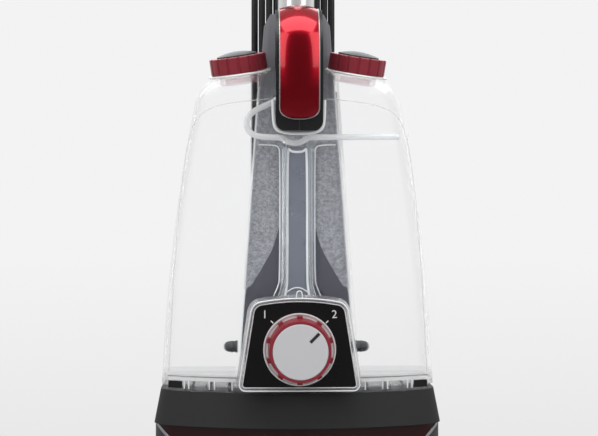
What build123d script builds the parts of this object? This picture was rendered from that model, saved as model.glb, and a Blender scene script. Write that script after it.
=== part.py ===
import os
from math import acos, atan, cos, degrees, pi, radians, sin, sqrt, tan

from build123d import *

os.makedirs("parts", exist_ok=True)

# Fits: play between pieces that come apart, running clearance of pieces that turn.
play = 0.4
running = 0.06
wall = 3.0

# Rear wheels and the axle that the upright leans about.
wheel_radius = 80.0
wheel_inner = 118.0
wheel_width = 30.0
rim_radius = 70.0
axle_radius = 5.0
axle_y = 135.0
axle_z = wheel_radius
barrel_radius = 48.0
barrel_half = 100.0

# Foot of the machine.
foot_half = 150.0
foot_front = -178.0
pan_bottom = 12.0
pan_top = 62.0
chamber_rear = -58.0
chamber_roof = 57.0
bay_half = 114.0
bay_rear = 190.0
hood_top = 152.0
well_half = 128.0
well_front = -174.0
well_rear = -52.0

# Brush row and its gear drive.
brush_count = 5
brush_y = -135.0
gear_module = 3.5
gear_teeth = 16
pinion_teeth = 12
gear_backlash = 0.5
gear_low = 36.0
gear_high = 46.0
brush_pitch = gear_module * gear_teeth
pinion_y = brush_y + gear_module * (gear_teeth + pinion_teeth) / 2
bristle_tip = 2.0
spindle_radius = 4.0
pulley_radius = 12.0
brush_motor_xy = (-55.0, -22.0)

# Suction motor and fan.
motor_y = 8.0
motor_z = 80.0
motor_radius = 38.0
fan_radius = 42.0

# Nozzle.
nozzle_lip_height = 6.0
nozzle_half = 152.0
nozzle_top_half = 52.0
nozzle_y = -205.0

# Recovery tank.
bucket_half = 125.0
bucket_front = -171.0
bucket_rear = -55.0
bucket_low = 62.0
bucket_high = 150.0
bucket_wall = 2.5
lid_high = 180.0
bail_y = -113.0
bail_z = 165.0

# Upright: seat, lower housing, spine.
seat_top = 302.0
crease_z = 268.0
crease_half = 143.5
seat_half = 137.0
bow_radius = 284.0
spine_front_y = 62.0
spine_rear_y = 132.0
spine_top = 679.0
spine_low_half = 59.7
spine_taper = 0.0711
tube_y = (spine_front_y + spine_rear_y) / 2
tube_radius = 19.0
tube_low = 603.0
tube_high = 895.0

# Top handle.
boss_low = 870.0
boss_high = 955.0
boss_radius = 24.0
loop_half = 17.0

# Clean water tank.
tank_low = 307.0
tank_floor = 313.0
tank_half = 135.5
tank_top_half = 98.5
tank_shoulder_z = 606.0
tank_top = 622.0
tank_wall = 2.6
tank_front = -2.0
tank_rear = 98.0
tank_lean = 0.03
valve_y = 47.0
tube_path_y = 32.0
cap_x = 57.7
cap_y = 38.0
cap_seat_z = 615.0
cap_lean_out = radians(8.5)
cap_lean_forward = radians(9)
cap_radius = 28.3
neck_radius = 23.2
flange_radius = cap_radius + 2.6
flange_top = 2.0

# Dial.
dial_z = 345.5
plate_front = -14.0
plate_thick = 2.4
knob_radius = 30.6
knob_face_radius = 26.4
knob_front = -44.0

# Power cord wound on two hooks.
cord_radius = 3.5
cord_step = 7.8
hook_low = 495.0
hook_high = 906.0
hook_radius = 14.0
cord_y = spine_rear_y + 3.5 + cord_radius
gland_top = 452.0
plug_top = 440.0


def front(y):
    return Plane(origin=(0, y, 0), x_dir=(1, 0, 0), z_dir=(0, -1, 0))


def rear(y):
    return Plane(origin=(0, y, 0), x_dir=(-1, 0, 0), z_dir=(0, 1, 0))


def flank(x):
    return Plane(origin=(x, 0, 0), x_dir=(0, 1, 0), z_dir=(1, 0, 0))


def level(z):
    return Plane.XY.offset(z)


def block(xs, ys, zs, mode=Mode.ADD):
    with Locations(((xs[0] + xs[1]) / 2, (ys[0] + ys[1]) / 2, (zs[0] + zs[1]) / 2)):
        Box(xs[1] - xs[0], ys[1] - ys[0], zs[1] - zs[0], mode=mode)


def rod_x(radius, xs, y, z, mode=Mode.ADD):
    with Locations(((xs[0] + xs[1]) / 2, y, z)):
        Cylinder(radius, xs[1] - xs[0], rotation=(0, 90, 0), mode=mode)


def rod_y(radius, x, ys, z, mode=Mode.ADD):
    with Locations((x, (ys[0] + ys[1]) / 2, z)):
        Cylinder(radius, ys[1] - ys[0], rotation=(90, 0, 0), mode=mode)


def rod_z(radius, x, y, zs, mode=Mode.ADD):
    with Locations((x, y, (zs[0] + zs[1]) / 2)):
        Cylinder(radius, zs[1] - zs[0], mode=mode)


def finish(builder, label):
    builder.part.label = label
    export_step(builder.part, "parts/" + label + ".step")


# Chassis pan: open motor bay behind, brush chamber open below in front, two axle ears.
with BuildPart() as base_pan:
    arch_y = axle_y - wheel_radius - 9
    with BuildSketch(level(pan_bottom)) as pan_plan:
        with BuildLine():
            Polyline(
                (-foot_half, foot_front), (foot_half, foot_front), (foot_half, arch_y),
                (bay_half, arch_y), (bay_half, bay_rear), (-bay_half, bay_rear),
                (-bay_half, arch_y), (-foot_half, arch_y), close=True,
            )
        make_face()
        fillet(pan_plan.vertices().group_by(Axis.Y)[0], 16)
    extrude(amount=pan_top - pan_bottom)
    block((-foot_half + wall, foot_half - wall), (chamber_rear + wall, arch_y - wall),
          (pan_bottom + wall, pan_top + 1), Mode.SUBTRACT)
    block((-bay_half + wall, bay_half - wall), (arch_y - 10, bay_rear - wall),
          (pan_bottom + wall, pan_top + 1), Mode.SUBTRACT)
    block((-foot_half + 4, foot_half - 4), (foot_front + 4, chamber_rear),
          (pan_bottom - 1, chamber_roof), Mode.SUBTRACT)
    block((brush_motor_xy[0] - 5, 15), (chamber_rear - 1, chamber_rear + wall + 1), (46, chamber_roof + 1),
          Mode.SUBTRACT)
    for s in (-1, 1):
        with BuildSketch(flank(s * (bay_half - 6))):
            with Locations((axle_y, axle_z)):
                Circle(20)
            Polygon((axle_y - 25, pan_bottom), (axle_y + 25, pan_bottom), (axle_y + 19, axle_z + 4),
                    (axle_y - 19, axle_z + 4), align=None)
        extrude(amount=6, both=True)
    rod_x(axle_radius + running, (-bay_half - 1, bay_half + 1), axle_y, axle_z, Mode.SUBTRACT)
    rod_z(3, 0, pinion_y, (gear_low - 3, chamber_roof))
    rod_z(5, 0, pinion_y, (gear_low - 4, gear_low - 2))
    for s in (-1, 1):
        block((s * 62 - 24, s * 62 + 24), (bay_rear, bay_rear + 1.4), (20, 52))
    for s in (30, 94):
        with BuildSketch(flank(s - 3)):
            with Locations((bay_rear + 8, 32)):
                Circle(6)
            Polygon((bay_rear - 1, 24), (bay_rear + 8, 26), (bay_rear + 8, 38), (bay_rear - 1, 44),
                    align=None)
        extrude(amount=6)
    rod_x(3 + running, (26, 98), bay_rear + 8, 32, Mode.SUBTRACT)

# Hood over the motor bay with two side arms round the recovery tank and an air tower.
hood_rear = 78.0
hood_outline = [
    (foot_front, pan_top), (foot_front, 96), (-150, 112), (well_rear, 122), (well_rear + 3, hood_top - 2),
    (24, hood_top), (66, 112), (hood_rear, 84), (hood_rear, pan_top),
]


def upper_side_edges(form, half, floor_z):
    side_edges = form.edges().filter_by(lambda e: abs(abs(e.center().X) - half) < 0.1)
    return side_edges.filter_by(lambda e: e.center().Z > floor_z and abs(e.tangent_at(0.5).Z) < 0.9)


with BuildPart() as hood_core:
    with BuildSketch(flank(0)):
        Polygon(*hood_outline, align=None)
    extrude(amount=foot_half, both=True)
    fillet(upper_side_edges(hood_core, foot_half, 90), 9)

with BuildPart() as hood_void:
    with BuildSketch(flank(0)):
        Polygon(*hood_outline, align=None)
        offset(amount=-wall)
    extrude(amount=foot_half - wall, both=True)
    block((-foot_half + wall, foot_half - wall), (foot_front + wall, hood_rear - wall),
          (pan_top - 1, pan_top + 12))
    fillet(upper_side_edges(hood_void, foot_half - wall, 87), 6)
    block((-well_half - wall, well_half + wall), (foot_front - 1, well_rear + wall), (0, 400), Mode.SUBTRACT)
    for s in (-1, 1):
        rod_x(wheel_radius + 6 + wall, (s * 133 - 21, s * 133 + 21), axle_y, axle_z, Mode.SUBTRACT)

with BuildPart() as base_hood:
    add(hood_core.part)
    block((-40, 40), (well_rear + 3, -12), (hood_top - 12, lid_high - 2))
    fillet(base_hood.edges().filter_by(Axis.Y).group_by(Axis.Z)[-1], 8)
    add(hood_void.part, mode=Mode.SUBTRACT)
    block((-36, 36), (well_rear + 2, -15.5), (hood_top - 14, lid_high - 10), Mode.SUBTRACT)
    block((-well_half, well_half), (foot_front + 4, well_rear), (0, 400), Mode.SUBTRACT)
    for s in (-1, 1):
        rod_x(wheel_radius + 6, (s * 133 - 18, s * 133 + 18), axle_y, axle_z, Mode.SUBTRACT)
        for k in range(6):
            slot_y = -38 + 9 * k
            block((s * foot_half - 6, s * foot_half + 6), (slot_y, slot_y + 4), (78, 126), Mode.SUBTRACT)


# Clear suction nozzle, a flat funnel that narrows upward into a rear-facing outlet.
def funnel(inset):
    with BuildPart() as horn:
        for z, y, half, deep in (
            (nozzle_lip_height, nozzle_y, nozzle_half, 16), (70, nozzle_y + 11, nozzle_half - 14, 18),
            (162, nozzle_y + 19, nozzle_top_half, 22),
        ):
            with BuildSketch(level(z)):
                with Locations((0, y)):
                    RectangleRounded(2 * (half - inset), deep - 2 * inset, 5 - inset)
        loft(ruled=True)
    return horn.part


with BuildPart() as nozzle_duct:
    add(funnel(0))
    block((-nozzle_top_half, nozzle_top_half), (nozzle_y + 8, well_front - 1.4), (160, lid_high - 3))
    fillet(nozzle_duct.edges().filter_by(Axis.X).group_by(Axis.Z)[-1].sort_by(Axis.Y)[0], 8)
    for s in (-1, 1):
        block((s * 118 - 9, s * 118 + 9), (nozzle_y + 9, foot_front), (24, 50))
    add(funnel(2.4), mode=Mode.SUBTRACT)
    block((-nozzle_top_half + 2.4, nozzle_top_half - 2.4), (nozzle_y + 10.4, well_front + 2),
          (161, lid_high - 5.4), Mode.SUBTRACT)

with BuildPart() as nozzle_lip:
    with BuildSketch(level(0)):
        with Locations((0, nozzle_y)):
            RectangleRounded(2 * nozzle_half + 4, 20, 6)
            Rectangle(2 * nozzle_half - 10, 9, mode=Mode.SUBTRACT)
    extrude(amount=nozzle_lip_height)
    fillet(nozzle_lip.edges().group_by(Axis.Z)[0], 1.5)


def gear_points(teeth, turn):
    pitch_r = gear_module * teeth / 2
    base_r = pitch_r * cos(radians(20))
    tip_r = pitch_r + 0.85 * gear_module
    root_r = pitch_r - 1.15 * gear_module
    half = pi / (2 * teeth) - gear_backlash / 2 / pitch_r + tan(radians(20)) - radians(20)
    low_r = max(base_r, root_r + 0.2)
    flank_pts = []
    for i in range(5):
        r = low_r + (tip_r - low_r) * i / 4
        a = acos(min(1.0, base_r / r))
        flank_pts.append((r, half - (tan(a) - a)))
    pts = []
    for k in range(teeth):
        mid = turn + 2 * pi * k / teeth
        pts.append((root_r, mid - flank_pts[0][1] - 0.01))
        pts += [(r, mid - a) for r, a in flank_pts]
        pts += [(r, mid + a) for r, a in reversed(flank_pts)]
        pts.append((root_r, mid + flank_pts[0][1] + 0.01))
    return [(r * cos(a), r * sin(a)) for r, a in pts]


# One spin brush: gear above, cup below, rings of bristles; the row uses five of them.
cup_low = gear_low - 6


def spin_brush(turn):
    with BuildPart() as brush:
        with BuildSketch(level(gear_low)):
            Polygon(*gear_points(gear_teeth, turn), align=None)
        extrude(amount=gear_high - gear_low)
        rod_z(26.5, 0, 0, (cup_low, gear_low))
        for ring, count in ((11, 14), (17, 22), (23, 30)):
            with Locations((0, 0, (bristle_tip + cup_low + 2) / 2)):
                with PolarLocations(ring, count):
                    Box(1.5, 1.5, cup_low + 2 - bristle_tip)
        rod_z(spindle_radius + running, 0, 0, (0, 60), Mode.SUBTRACT)
    return brush.part


brush_plain = spin_brush(0)
brush_half_step = spin_brush(pi / gear_teeth)
brush_xs = [(i - (brush_count - 1) / 2) * brush_pitch for i in range(brush_count)]
for i, x in enumerate(brush_xs):
    with BuildPart() as brush_n:
        even = (i - (brush_count - 1) // 2) % 2 == 0
        add((brush_plain if even else brush_half_step).moved(Location((x, brush_y, 0))))
    finish(brush_n, "spin_brush_" + str(i + 1))

# Brush block: the plate above the gears, with a headed spindle for every brush.
with BuildPart() as brush_block:
    block_half = brush_xs[-1] + 30
    block((-block_half, block_half), (brush_y - 31, brush_y + 31), (gear_high + 1, chamber_roof))
    fillet(brush_block.edges().filter_by(Axis.Z), 12)
    for x in brush_xs:
        rod_z(spindle_radius, x, brush_y, (cup_low - 2, gear_high + 1))
        rod_z(spindle_radius + 3, x, brush_y, (cup_low - 3, cup_low - 0.5))
        rod_z(10, x, brush_y, (gear_high + 0.4, gear_high + 1))

with BuildPart() as drive_pinion:
    with BuildSketch(level(gear_low)):
        with Locations((0, pinion_y)):
            Polygon(*gear_points(pinion_teeth, pi / pinion_teeth), align=None)
    extrude(amount=gear_high - gear_low)
    rod_z(pulley_radius, 0, pinion_y, (gear_high, chamber_roof - 0.6))
    rod_z(3 + running, 0, pinion_y, (0, 60), Mode.SUBTRACT)

belt_low = gear_high + 1.6
belt_high = chamber_roof - 1.4
with BuildPart() as motor_pulley:
    rod_z(pulley_radius, brush_motor_xy[0], brush_motor_xy[1], (gear_high, chamber_roof - 0.6))
    rod_z(3, brush_motor_xy[0], brush_motor_xy[1], (gear_high - 4, chamber_roof + 24))

with BuildPart() as drive_belt:
    for extra, mode in ((1.9, Mode.ADD), (0.1, Mode.SUBTRACT)):
        with BuildSketch(level(belt_low)) as belt_plan:
            with Locations((0, pinion_y), brush_motor_xy):
                Circle(pulley_radius + extra)
            make_hull()
        extrude(amount=belt_high - belt_low, mode=mode)

with BuildPart() as brush_motor:
    mx, my = brush_motor_xy
    rod_z(20, mx, my, (chamber_roof + 6, chamber_roof + 60))
    rod_z(9, mx, my, (chamber_roof + 60, chamber_roof + 65))
    block((mx - 28, mx + 28), (my - 12, my + 26), (chamber_roof + 2, chamber_roof + 6))
    for s in (-1, 1):
        leg_x = mx + s * 25.5
        block((leg_x - 2.5, leg_x + 2.5), (my + 8, my + 26), (pan_bottom + wall, chamber_roof + 3))
    rod_z(3 + running, mx, my, (0, chamber_roof + 25), Mode.SUBTRACT)

# Suction motor on its cradle, fan housing at its right end.
with BuildPart() as suction_motor:
    rod_x(motor_radius, (-14, 76), motor_y, motor_z)
    rod_x(motor_radius - 10, (-26, -14), motor_y, motor_z)
    for x in (0, 62):
        block((x - 5, x + 5), (motor_y - 30, motor_y + 30), (pan_bottom + wall, motor_z - 22))
    fillet(suction_motor.edges().filter_by(GeomType.CIRCLE).group_by(Axis.X)[0], 4)
    rod_x(5 + running, (30, 77), motor_y, motor_z, Mode.SUBTRACT)

with BuildPart() as fan_housing:
    rod_x(fan_radius + 5, (76, 108), motor_y, motor_z)
    block((80, 104), (motor_y + 20, motor_y + fan_radius + 5), (pan_bottom + wall, motor_z))
    rod_x(fan_radius + 2, (79, 105), motor_y, motor_z, Mode.SUBTRACT)
    rod_x(16, (104, 109), motor_y, motor_z, Mode.SUBTRACT)
    rod_x(8, (75, 80), motor_y, motor_z, Mode.SUBTRACT)
    block((84, 100), (motor_y + 24, motor_y + fan_radius + 1), (pan_bottom + wall + 4, motor_z),
          Mode.SUBTRACT)

with BuildPart() as fan_impeller:
    rod_x(fan_radius, (82, 84), motor_y, motor_z)
    rod_x(10, (82, 100), motor_y, motor_z)
    rod_x(5, (34, 82), motor_y, motor_z)
    for k in range(9):
        a = 2 * pi * k / 9
        blade_mid = (91, motor_y + 24 * cos(a), motor_z + 24 * sin(a))
        with Locations(Location(blade_mid, (degrees(a) + 28, 0, 0))):
            Box(14, 32, 1.6)

# Solution pump and the spray bar it feeds.
with BuildPart() as solution_pump:
    block((-128, -92), (-14, 34), (pan_bottom + wall, 52))
    rod_y(15, -110, (-34, -14), 34)
    rod_z(11, -110, 12, (52, 66))
    rod_x(4, (-92, -80), 22, 40)

with BuildPart() as spray_bar:
    rod_x(4, (-84, 84), chamber_rear - 6, 30)
    for x in (-76, 0, 76):
        rod_z(5.5, x, chamber_rear - 6, (19, 32))
    for x in (-60, 60):
        block((x - 4, x + 4), (chamber_rear - 7, chamber_rear), (26, 34))

# Axle with its headed ends, wheels and tyres.
with BuildPart() as rear_axle:
    cap_face = wheel_inner + wheel_width + 0.5
    rod_x(axle_radius, (-cap_face - 2, cap_face + 2), axle_y, axle_z)
    for s in (-1, 1):
        rod_x(11, (s * (cap_face + 3) - 3, s * (cap_face + 3) + 3), axle_y, axle_z)
    fillet(rear_axle.edges().filter_by(GeomType.CIRCLE).sort_by(Axis.X)[0], 4)
    fillet(rear_axle.edges().filter_by(GeomType.CIRCLE).sort_by(Axis.X)[-1], 4)

for side_name, s in (("left", -1), ("right", 1)):
    mid = s * (wheel_inner + wheel_width / 2)
    with BuildPart() as wheel:
        rod_x(14, (mid - wheel_width / 2, mid + wheel_width / 2), axle_y, axle_z)
        rod_x(rim_radius, (mid - 12, mid + 12), axle_y, axle_z)
        for end in (-1, 1):
            with BuildSketch(flank(mid + end * 4)):
                with Locations((axle_y, axle_z)):
                    Circle(rim_radius - 7)
                    Circle(14, mode=Mode.SUBTRACT)
            extrude(amount=end * 9, mode=Mode.SUBTRACT)
        for k in range(6):
            a = 2 * pi * k / 6
            rod_x(11, (mid - 20, mid + 20), axle_y + 39 * cos(a), axle_z + 39 * sin(a), Mode.SUBTRACT)
        rod_x(axle_radius + running, (mid - 20, mid + 20), axle_y, axle_z, Mode.SUBTRACT)
    finish(wheel, "wheel_" + side_name)
    with BuildPart() as tyre:
        rod_x(wheel_radius, (mid - 13, mid + 13), axle_y, axle_z)
        fillet(tyre.edges().filter_by(GeomType.CIRCLE), 4)
        for gx in (-4.5, 4.5):
            with BuildSketch(flank(mid + gx)):
                with Locations((axle_y, axle_z)):
                    Circle(wheel_radius + 2)
                    Circle(wheel_radius - 2.5, mode=Mode.SUBTRACT)
            extrude(amount=1.2, both=True, mode=Mode.SUBTRACT)
        rod_x(rim_radius, (mid - 20, mid + 20), axle_y, axle_z, Mode.SUBTRACT)
    finish(tyre, "tyre_" + side_name)

# Foot pedal that frees the upright.
with BuildPart() as release_pedal:
    with BuildSketch(flank(62)):
        with Locations((bay_rear + 8, 32)):
            Circle(6)
        Polygon((bay_rear + 3, 36), (bay_rear + 5, 48), (bay_rear + 24, 55), (bay_rear + 24, 51),
                (bay_rear + 14, 30), align=None)
    extrude(amount=26, both=True)
    fillet(release_pedal.edges().filter_by(Axis.X).group_by(Axis.Z)[-1], 1.5)
    rod_x(3, (62 - 35, 62 + 35), bay_rear + 8, 32)

# Recovery bucket, its lid with inlet and outlet, float on its stem, and the bail.
with BuildPart() as recovery_tank:
    with BuildSketch(level(bucket_low)):
        with Locations((0, (bucket_front + bucket_rear) / 2)):
            RectangleRounded(2 * bucket_half, bucket_rear - bucket_front, 18)
    extrude(amount=bucket_high - bucket_low)
    fillet(recovery_tank.edges().group_by(Axis.Z)[0], 6)
    with BuildSketch(level(bucket_low + 3)):
        with Locations((0, (bucket_front + bucket_rear) / 2)):
            RectangleRounded(2 * (bucket_half - bucket_wall), bucket_rear - bucket_front - 2 * bucket_wall,
                             18 - bucket_wall)
    extrude(amount=bucket_high, mode=Mode.SUBTRACT)

with BuildPart() as recovery_lid:
    lid_mid = (bucket_front + bucket_rear) / 2
    with BuildSketch(level(bucket_high)):
        with Locations((0, lid_mid)):
            RectangleRounded(2 * bucket_half + 4, bucket_rear - bucket_front + 4, 20)
    extrude(amount=lid_high - bucket_high)
    fillet(recovery_lid.edges().group_by(Axis.Z)[-1], 6)
    with BuildSketch(level(bucket_high - 1)):
        with Locations((0, lid_mid)):
            RectangleRounded(2 * bucket_half - 4, bucket_rear - bucket_front - 4, 16)
    extrude(amount=lid_high - bucket_high - 1.6, mode=Mode.SUBTRACT)
    block((-nozzle_top_half + 4, nozzle_top_half - 4), (bucket_front - 10, bucket_front + 12), (162, 172),
          Mode.SUBTRACT)
    block((-34, 34), (bucket_rear - 12, bucket_rear + 10), (154, 168), Mode.SUBTRACT)
    for s in (-1, 1):
        rod_x(7, (s * (bucket_half - 3) - 5, s * (bucket_half - 3) + 5), bail_y, bail_z)
        rod_x(3.5, (s * (bucket_half + 5.5) - 4, s * (bucket_half + 5.5) + 4), bail_y, bail_z)
    rod_z(4, 0, bucket_rear - 30, (88, lid_high - 1))
    rod_z(9, 0, bucket_rear - 30, (85, 88))

with BuildPart() as recovery_float:
    rod_z(20, 0, bucket_rear - 30, (88, 132))
    fillet(recovery_float.edges().filter_by(GeomType.CIRCLE), 6)
    rod_z(4 + running, 0, bucket_rear - 30, (0, 200), Mode.SUBTRACT)

with BuildPart() as recovery_bail:
    bar_y = bail_y + 42
    bar_z = lid_high + 8
    arm_in = bucket_half + 2.6
    with BuildSketch(flank(arm_in)):
        with Locations((bail_y, bail_z)):
            Circle(8)
        with Locations((bar_y, bar_z)):
            Circle(6)
        make_hull()
    extrude(amount=6)
    mirror(about=Plane.YZ)
    rod_x(6, (-arm_in - 3, arm_in + 3), bar_y, bar_z)
    rod_x(3.5 + running, (-200, 200), bail_y, bail_z, Mode.SUBTRACT)


# Bowed plan shared by the seat, the lower housing and the tank front.
def bow(half):
    return bow_radius - sqrt(bow_radius * bow_radius - half * half)


def plan_slab(z0, half0, front0, z1, half1, front1, back, inset):
    with BuildPart() as slab:
        for z, half, nose in ((z0, half0, front0), (z1, half1, front1)):
            with BuildSketch(level(z)) as cut:
                with BuildLine():
                    ThreePointArc((-half, nose + bow(half)), (0, nose), (half, nose + bow(half)))
                    Polyline((half, nose + bow(half)), (half, back), (-half, back), (-half, nose + bow(half)))
                make_face()
                fillet(cut.vertices().group_by(Axis.Y)[-1], 18)
                fillet(cut.vertices().filter_by(lambda v: v.Y < back - 40), 30)
                if inset:
                    offset(amount=-inset)
        loft(ruled=True)
    return slab.part


with BuildPart() as tank_seat:
    add(plan_slab(crease_z, crease_half, -9, seat_top, seat_half, -4, 140, 0))
    add(plan_slab(crease_z - 1, crease_half, -9, seat_top - 3.5, seat_half, -4, 140, 3.5), mode=Mode.SUBTRACT)
    rod_z(12, 0, valve_y, (crease_z, seat_top + 1), Mode.SUBTRACT)


# Lower housing: wide under the seat, drawn in between the wheels to a barrel on the axle.
housing_half = crease_half - 1


def lower_form(inset):
    with BuildPart() as form:
        with BuildSketch(front(260)):
            Polygon((-housing_half, crease_z), (-housing_half, 228), (-barrel_half, 168), (-barrel_half, 10),
                    (barrel_half, 10), (barrel_half, 168), (housing_half, 228), (housing_half, crease_z),
                    align=None)
            if inset:
                offset(amount=-inset)
        extrude(amount=400)
        with BuildSketch(flank(0)):
            Polygon((-8, crease_z), (12, 222), (axle_y - 40, axle_z + 26), (axle_y, axle_z),
                    (axle_y + 46, axle_z + 13), (150, 205), (138, crease_z), align=None)
            with Locations((axle_y, axle_z)):
                Circle(barrel_radius)
            if inset:
                offset(amount=-inset)
        extrude(amount=200, both=True, mode=Mode.INTERSECT)
        add(plan_slab(10, housing_half, -4, crease_z + 5, housing_half, -4, 260, inset), mode=Mode.INTERSECT)
        for s in (-1, 1):
            arch = (s * 141 - 40 - inset, s * 141 + 40 + inset)
            rod_x(wheel_radius + 10 + inset, arch, axle_y, axle_z, Mode.SUBTRACT)
    return form.part


housing_form = lower_form(0)
panel_low = 196.0
panel_top_half = 139.0
panel_low_half = panel_top_half - 1.02 * (crease_z - panel_low)

with BuildPart() as front_panel:
    with BuildSketch(front(60)):
        Polygon((-panel_top_half, crease_z), (-panel_low_half, panel_low), (panel_low_half, panel_low),
                (panel_top_half, crease_z), align=None)
    extrude(amount=120)
    add(housing_form, mode=Mode.INTERSECT)
    add(housing_form.moved(Location((0, 3, 0))), mode=Mode.SUBTRACT)

with BuildPart() as side_trim:
    with BuildSketch(front(60)):
        for s in (-1, 1):
            Polygon((s * panel_top_half, crease_z), (s * panel_low_half, panel_low),
                    (s * (panel_low_half + 4), panel_low), (s * (panel_top_half + 4), crease_z), align=None)
    extrude(amount=120)
    add(housing_form.moved(Location((0, -0.8, 0))), mode=Mode.INTERSECT)
    add(housing_form.moved(Location((0, 2, 0))), mode=Mode.SUBTRACT)
    block((-200, 200), (-100, 100), (crease_z - 0.5, crease_z + 50), Mode.SUBTRACT)

with BuildPart() as lower_housing:
    add(housing_form)
    add(lower_form(3.5), mode=Mode.SUBTRACT)
    add(front_panel.part, mode=Mode.SUBTRACT)
    add(side_trim.part, mode=Mode.SUBTRACT)
    rod_x(axle_radius + running, (-200, 200), axle_y, axle_z, Mode.SUBTRACT)


# Spine: one tapered column split into a front and a back shell round the handle tube.
def spine_half(z):
    return spine_low_half - (z - seat_top) * spine_taper


def spine_form(inset):
    with BuildPart() as form:
        with BuildSketch(front(spine_rear_y - inset)):
            low = seat_top + inset
            Polygon((-spine_half(low) + inset, low), (spine_half(low) - inset, low),
                    (spine_half(spine_top - 12) - inset, spine_top - 12), (27, spine_top), (-27, spine_top),
                    (-spine_half(spine_top - 12) + inset, spine_top - 12), align=None)
        extrude(amount=spine_rear_y - spine_front_y - 2 * inset)
        fillet(form.edges().filter_by(lambda e: abs(e.tangent_at(0.5).Z) > 0.9), 6 - inset / 2)
        if inset:
            block((-100, 100), (0, 200), (tube_low - 6, spine_top + 5), Mode.SUBTRACT)
    return form.part


spine_solid = spine_form(0)
spine_void = spine_form(wall)
with BuildPart() as spine_front:
    add(spine_solid)
    add(spine_void, mode=Mode.SUBTRACT)
    rod_z(tube_radius + running, 0, tube_y, (tube_low, spine_top + 1), Mode.SUBTRACT)
    block((-100, 100), (tube_y, 200), (0, 900), Mode.SUBTRACT)

with BuildPart() as spine_back:
    add(spine_solid)
    rod_y(hook_radius, 0, (spine_rear_y - 2, cord_y + cord_step + cord_radius + 1.7), hook_low)
    with BuildSketch(front(cord_y + cord_step + cord_radius + 6.2)):
        with Locations((0, hook_low - 18)):
            RectangleRounded(40, 72, 12)
    extrude(amount=4.5)
    block((-52, -34), (spine_rear_y - 2, cord_y + 7), (404, 418))
    add(spine_void, mode=Mode.SUBTRACT)
    rod_z(tube_radius + running, 0, tube_y, (tube_low, spine_top + 1), Mode.SUBTRACT)
    block((-100, 100), (0, tube_y), (0, 900), Mode.SUBTRACT)

with BuildPart() as handle_tube:
    rod_z(tube_radius, 0, tube_y, (tube_low, tube_high))
    rod_z(tube_radius - 1.5, 0, tube_y, (tube_low - 1, tube_high + 1), Mode.SUBTRACT)

# Closed loop handle, moulded in two halves that meet on the middle plane.
loop_points = [
    (tube_y - 24, 925), (tube_y - 22, 1050), (tube_y - 4, 1108), (tube_y + 22, 1120), (tube_y + 82, 1112),
    (tube_y + 99, 1090), (tube_y + 90, 1062), (tube_y + 24, 945), (tube_y + 24, 925),
]


def loop_form(inset):
    with BuildPart() as form:
        with BuildSketch(flank(0)) as ring:
            Polygon(*loop_points, align=None)
            fillet(ring.vertices().filter_by(lambda v: v.Y > 1000), 14)
            offset(amount=-inset)
        extrude(amount=loop_half - inset, both=True)
        if not inset:
            rims = form.edges().filter_by(lambda e: abs(abs(e.center().X) - loop_half) < 0.1)
            fillet(rims.filter_by(lambda e: e.center().Z > 940), 8)
        with BuildSketch(flank(0)) as hole:
            Polygon((tube_y + 4, 1000), (tube_y + 6, 1046), (tube_y + 18, 1084), (tube_y + 30, 1090),
                    (tube_y + 68, 1086), (tube_y + 70, 1078), (tube_y + 22, 992), (tube_y + 10, 988),
                    align=None)
            fillet(hole.vertices(), 5)
            if inset:
                offset(amount=inset)
        extrude(amount=60, both=True, mode=Mode.SUBTRACT)
    return form.part


switch_z = 930.0
trigger_pivot = (tube_y + 22, 1101.0)
with BuildPart() as loop_void:
    add(loop_form(3.5))
    block((-60, 60), (0, 400), (800, boss_high + 4), Mode.SUBTRACT)

with BuildPart() as handle_whole:
    add(loop_form(0))
    rod_z(boss_radius, 0, tube_y, (boss_low, boss_high))
    fillet(handle_whole.edges().filter_by(GeomType.CIRCLE).group_by(Axis.Z)[0], 3)
    add(loop_void.part, mode=Mode.SUBTRACT)
    rod_z(tube_radius + running, 0, tube_y, (boss_low - 1, tube_high), Mode.SUBTRACT)
    rod_z(7, 0, tube_y, (tube_high - 1, boss_high + 10), Mode.SUBTRACT)
    block((-9, 9), (0, tube_y - 10), (switch_z - 14, switch_z + 14), Mode.SUBTRACT)
    rod_x(2.5 + running, (-12, 12), tube_y - boss_radius + 4, switch_z, Mode.SUBTRACT)
    block((-6.5, 6.5), (tube_y + 14, tube_y + 66), (1075, 1104), Mode.SUBTRACT)
    rod_x(2.5 + running, (-15.4, 15.4), trigger_pivot[0], trigger_pivot[1], Mode.SUBTRACT)
    rod_y(5 + running, 0, (tube_y + 10, 200), hook_high, Mode.SUBTRACT)

with BuildPart() as handle_left:
    add(handle_whole.part)
    block((0, 200), (-200, 400), (800, 1200), Mode.SUBTRACT)

with BuildPart() as handle_right:
    add(handle_whole.part)
    block((-200, 0), (-200, 400), (800, 1200), Mode.SUBTRACT)

with BuildPart() as trigger:
    ty, tz = trigger_pivot
    with BuildSketch(flank(0)):
        with Locations((ty, tz)):
            Circle(4.5)
        Polygon((ty - 4, tz), (ty - 2, 1086), (ty + 10, 1079), (ty + 30, 1077.5), (ty + 38, 1080),
                (ty + 38, 1085), (ty + 20, 1090), (ty + 6, 1096), (ty + 4, tz), align=None)
    extrude(amount=6, both=True)
    rod_x(2.5, (-15, 15), ty, tz)

with BuildPart() as power_switch:
    sy = tube_y - boss_radius + 4
    with BuildSketch(flank(0)):
        Polygon((sy - 8, switch_z - 12), (sy - 4.5, switch_z), (sy - 6, switch_z + 12),
                (sy + 2, switch_z + 12), (sy + 4, switch_z), (sy + 2, switch_z - 12), align=None)
    extrude(amount=8.4, both=True)
    rod_x(2.5, (-11.6, 11.6), sy, switch_z)

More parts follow.
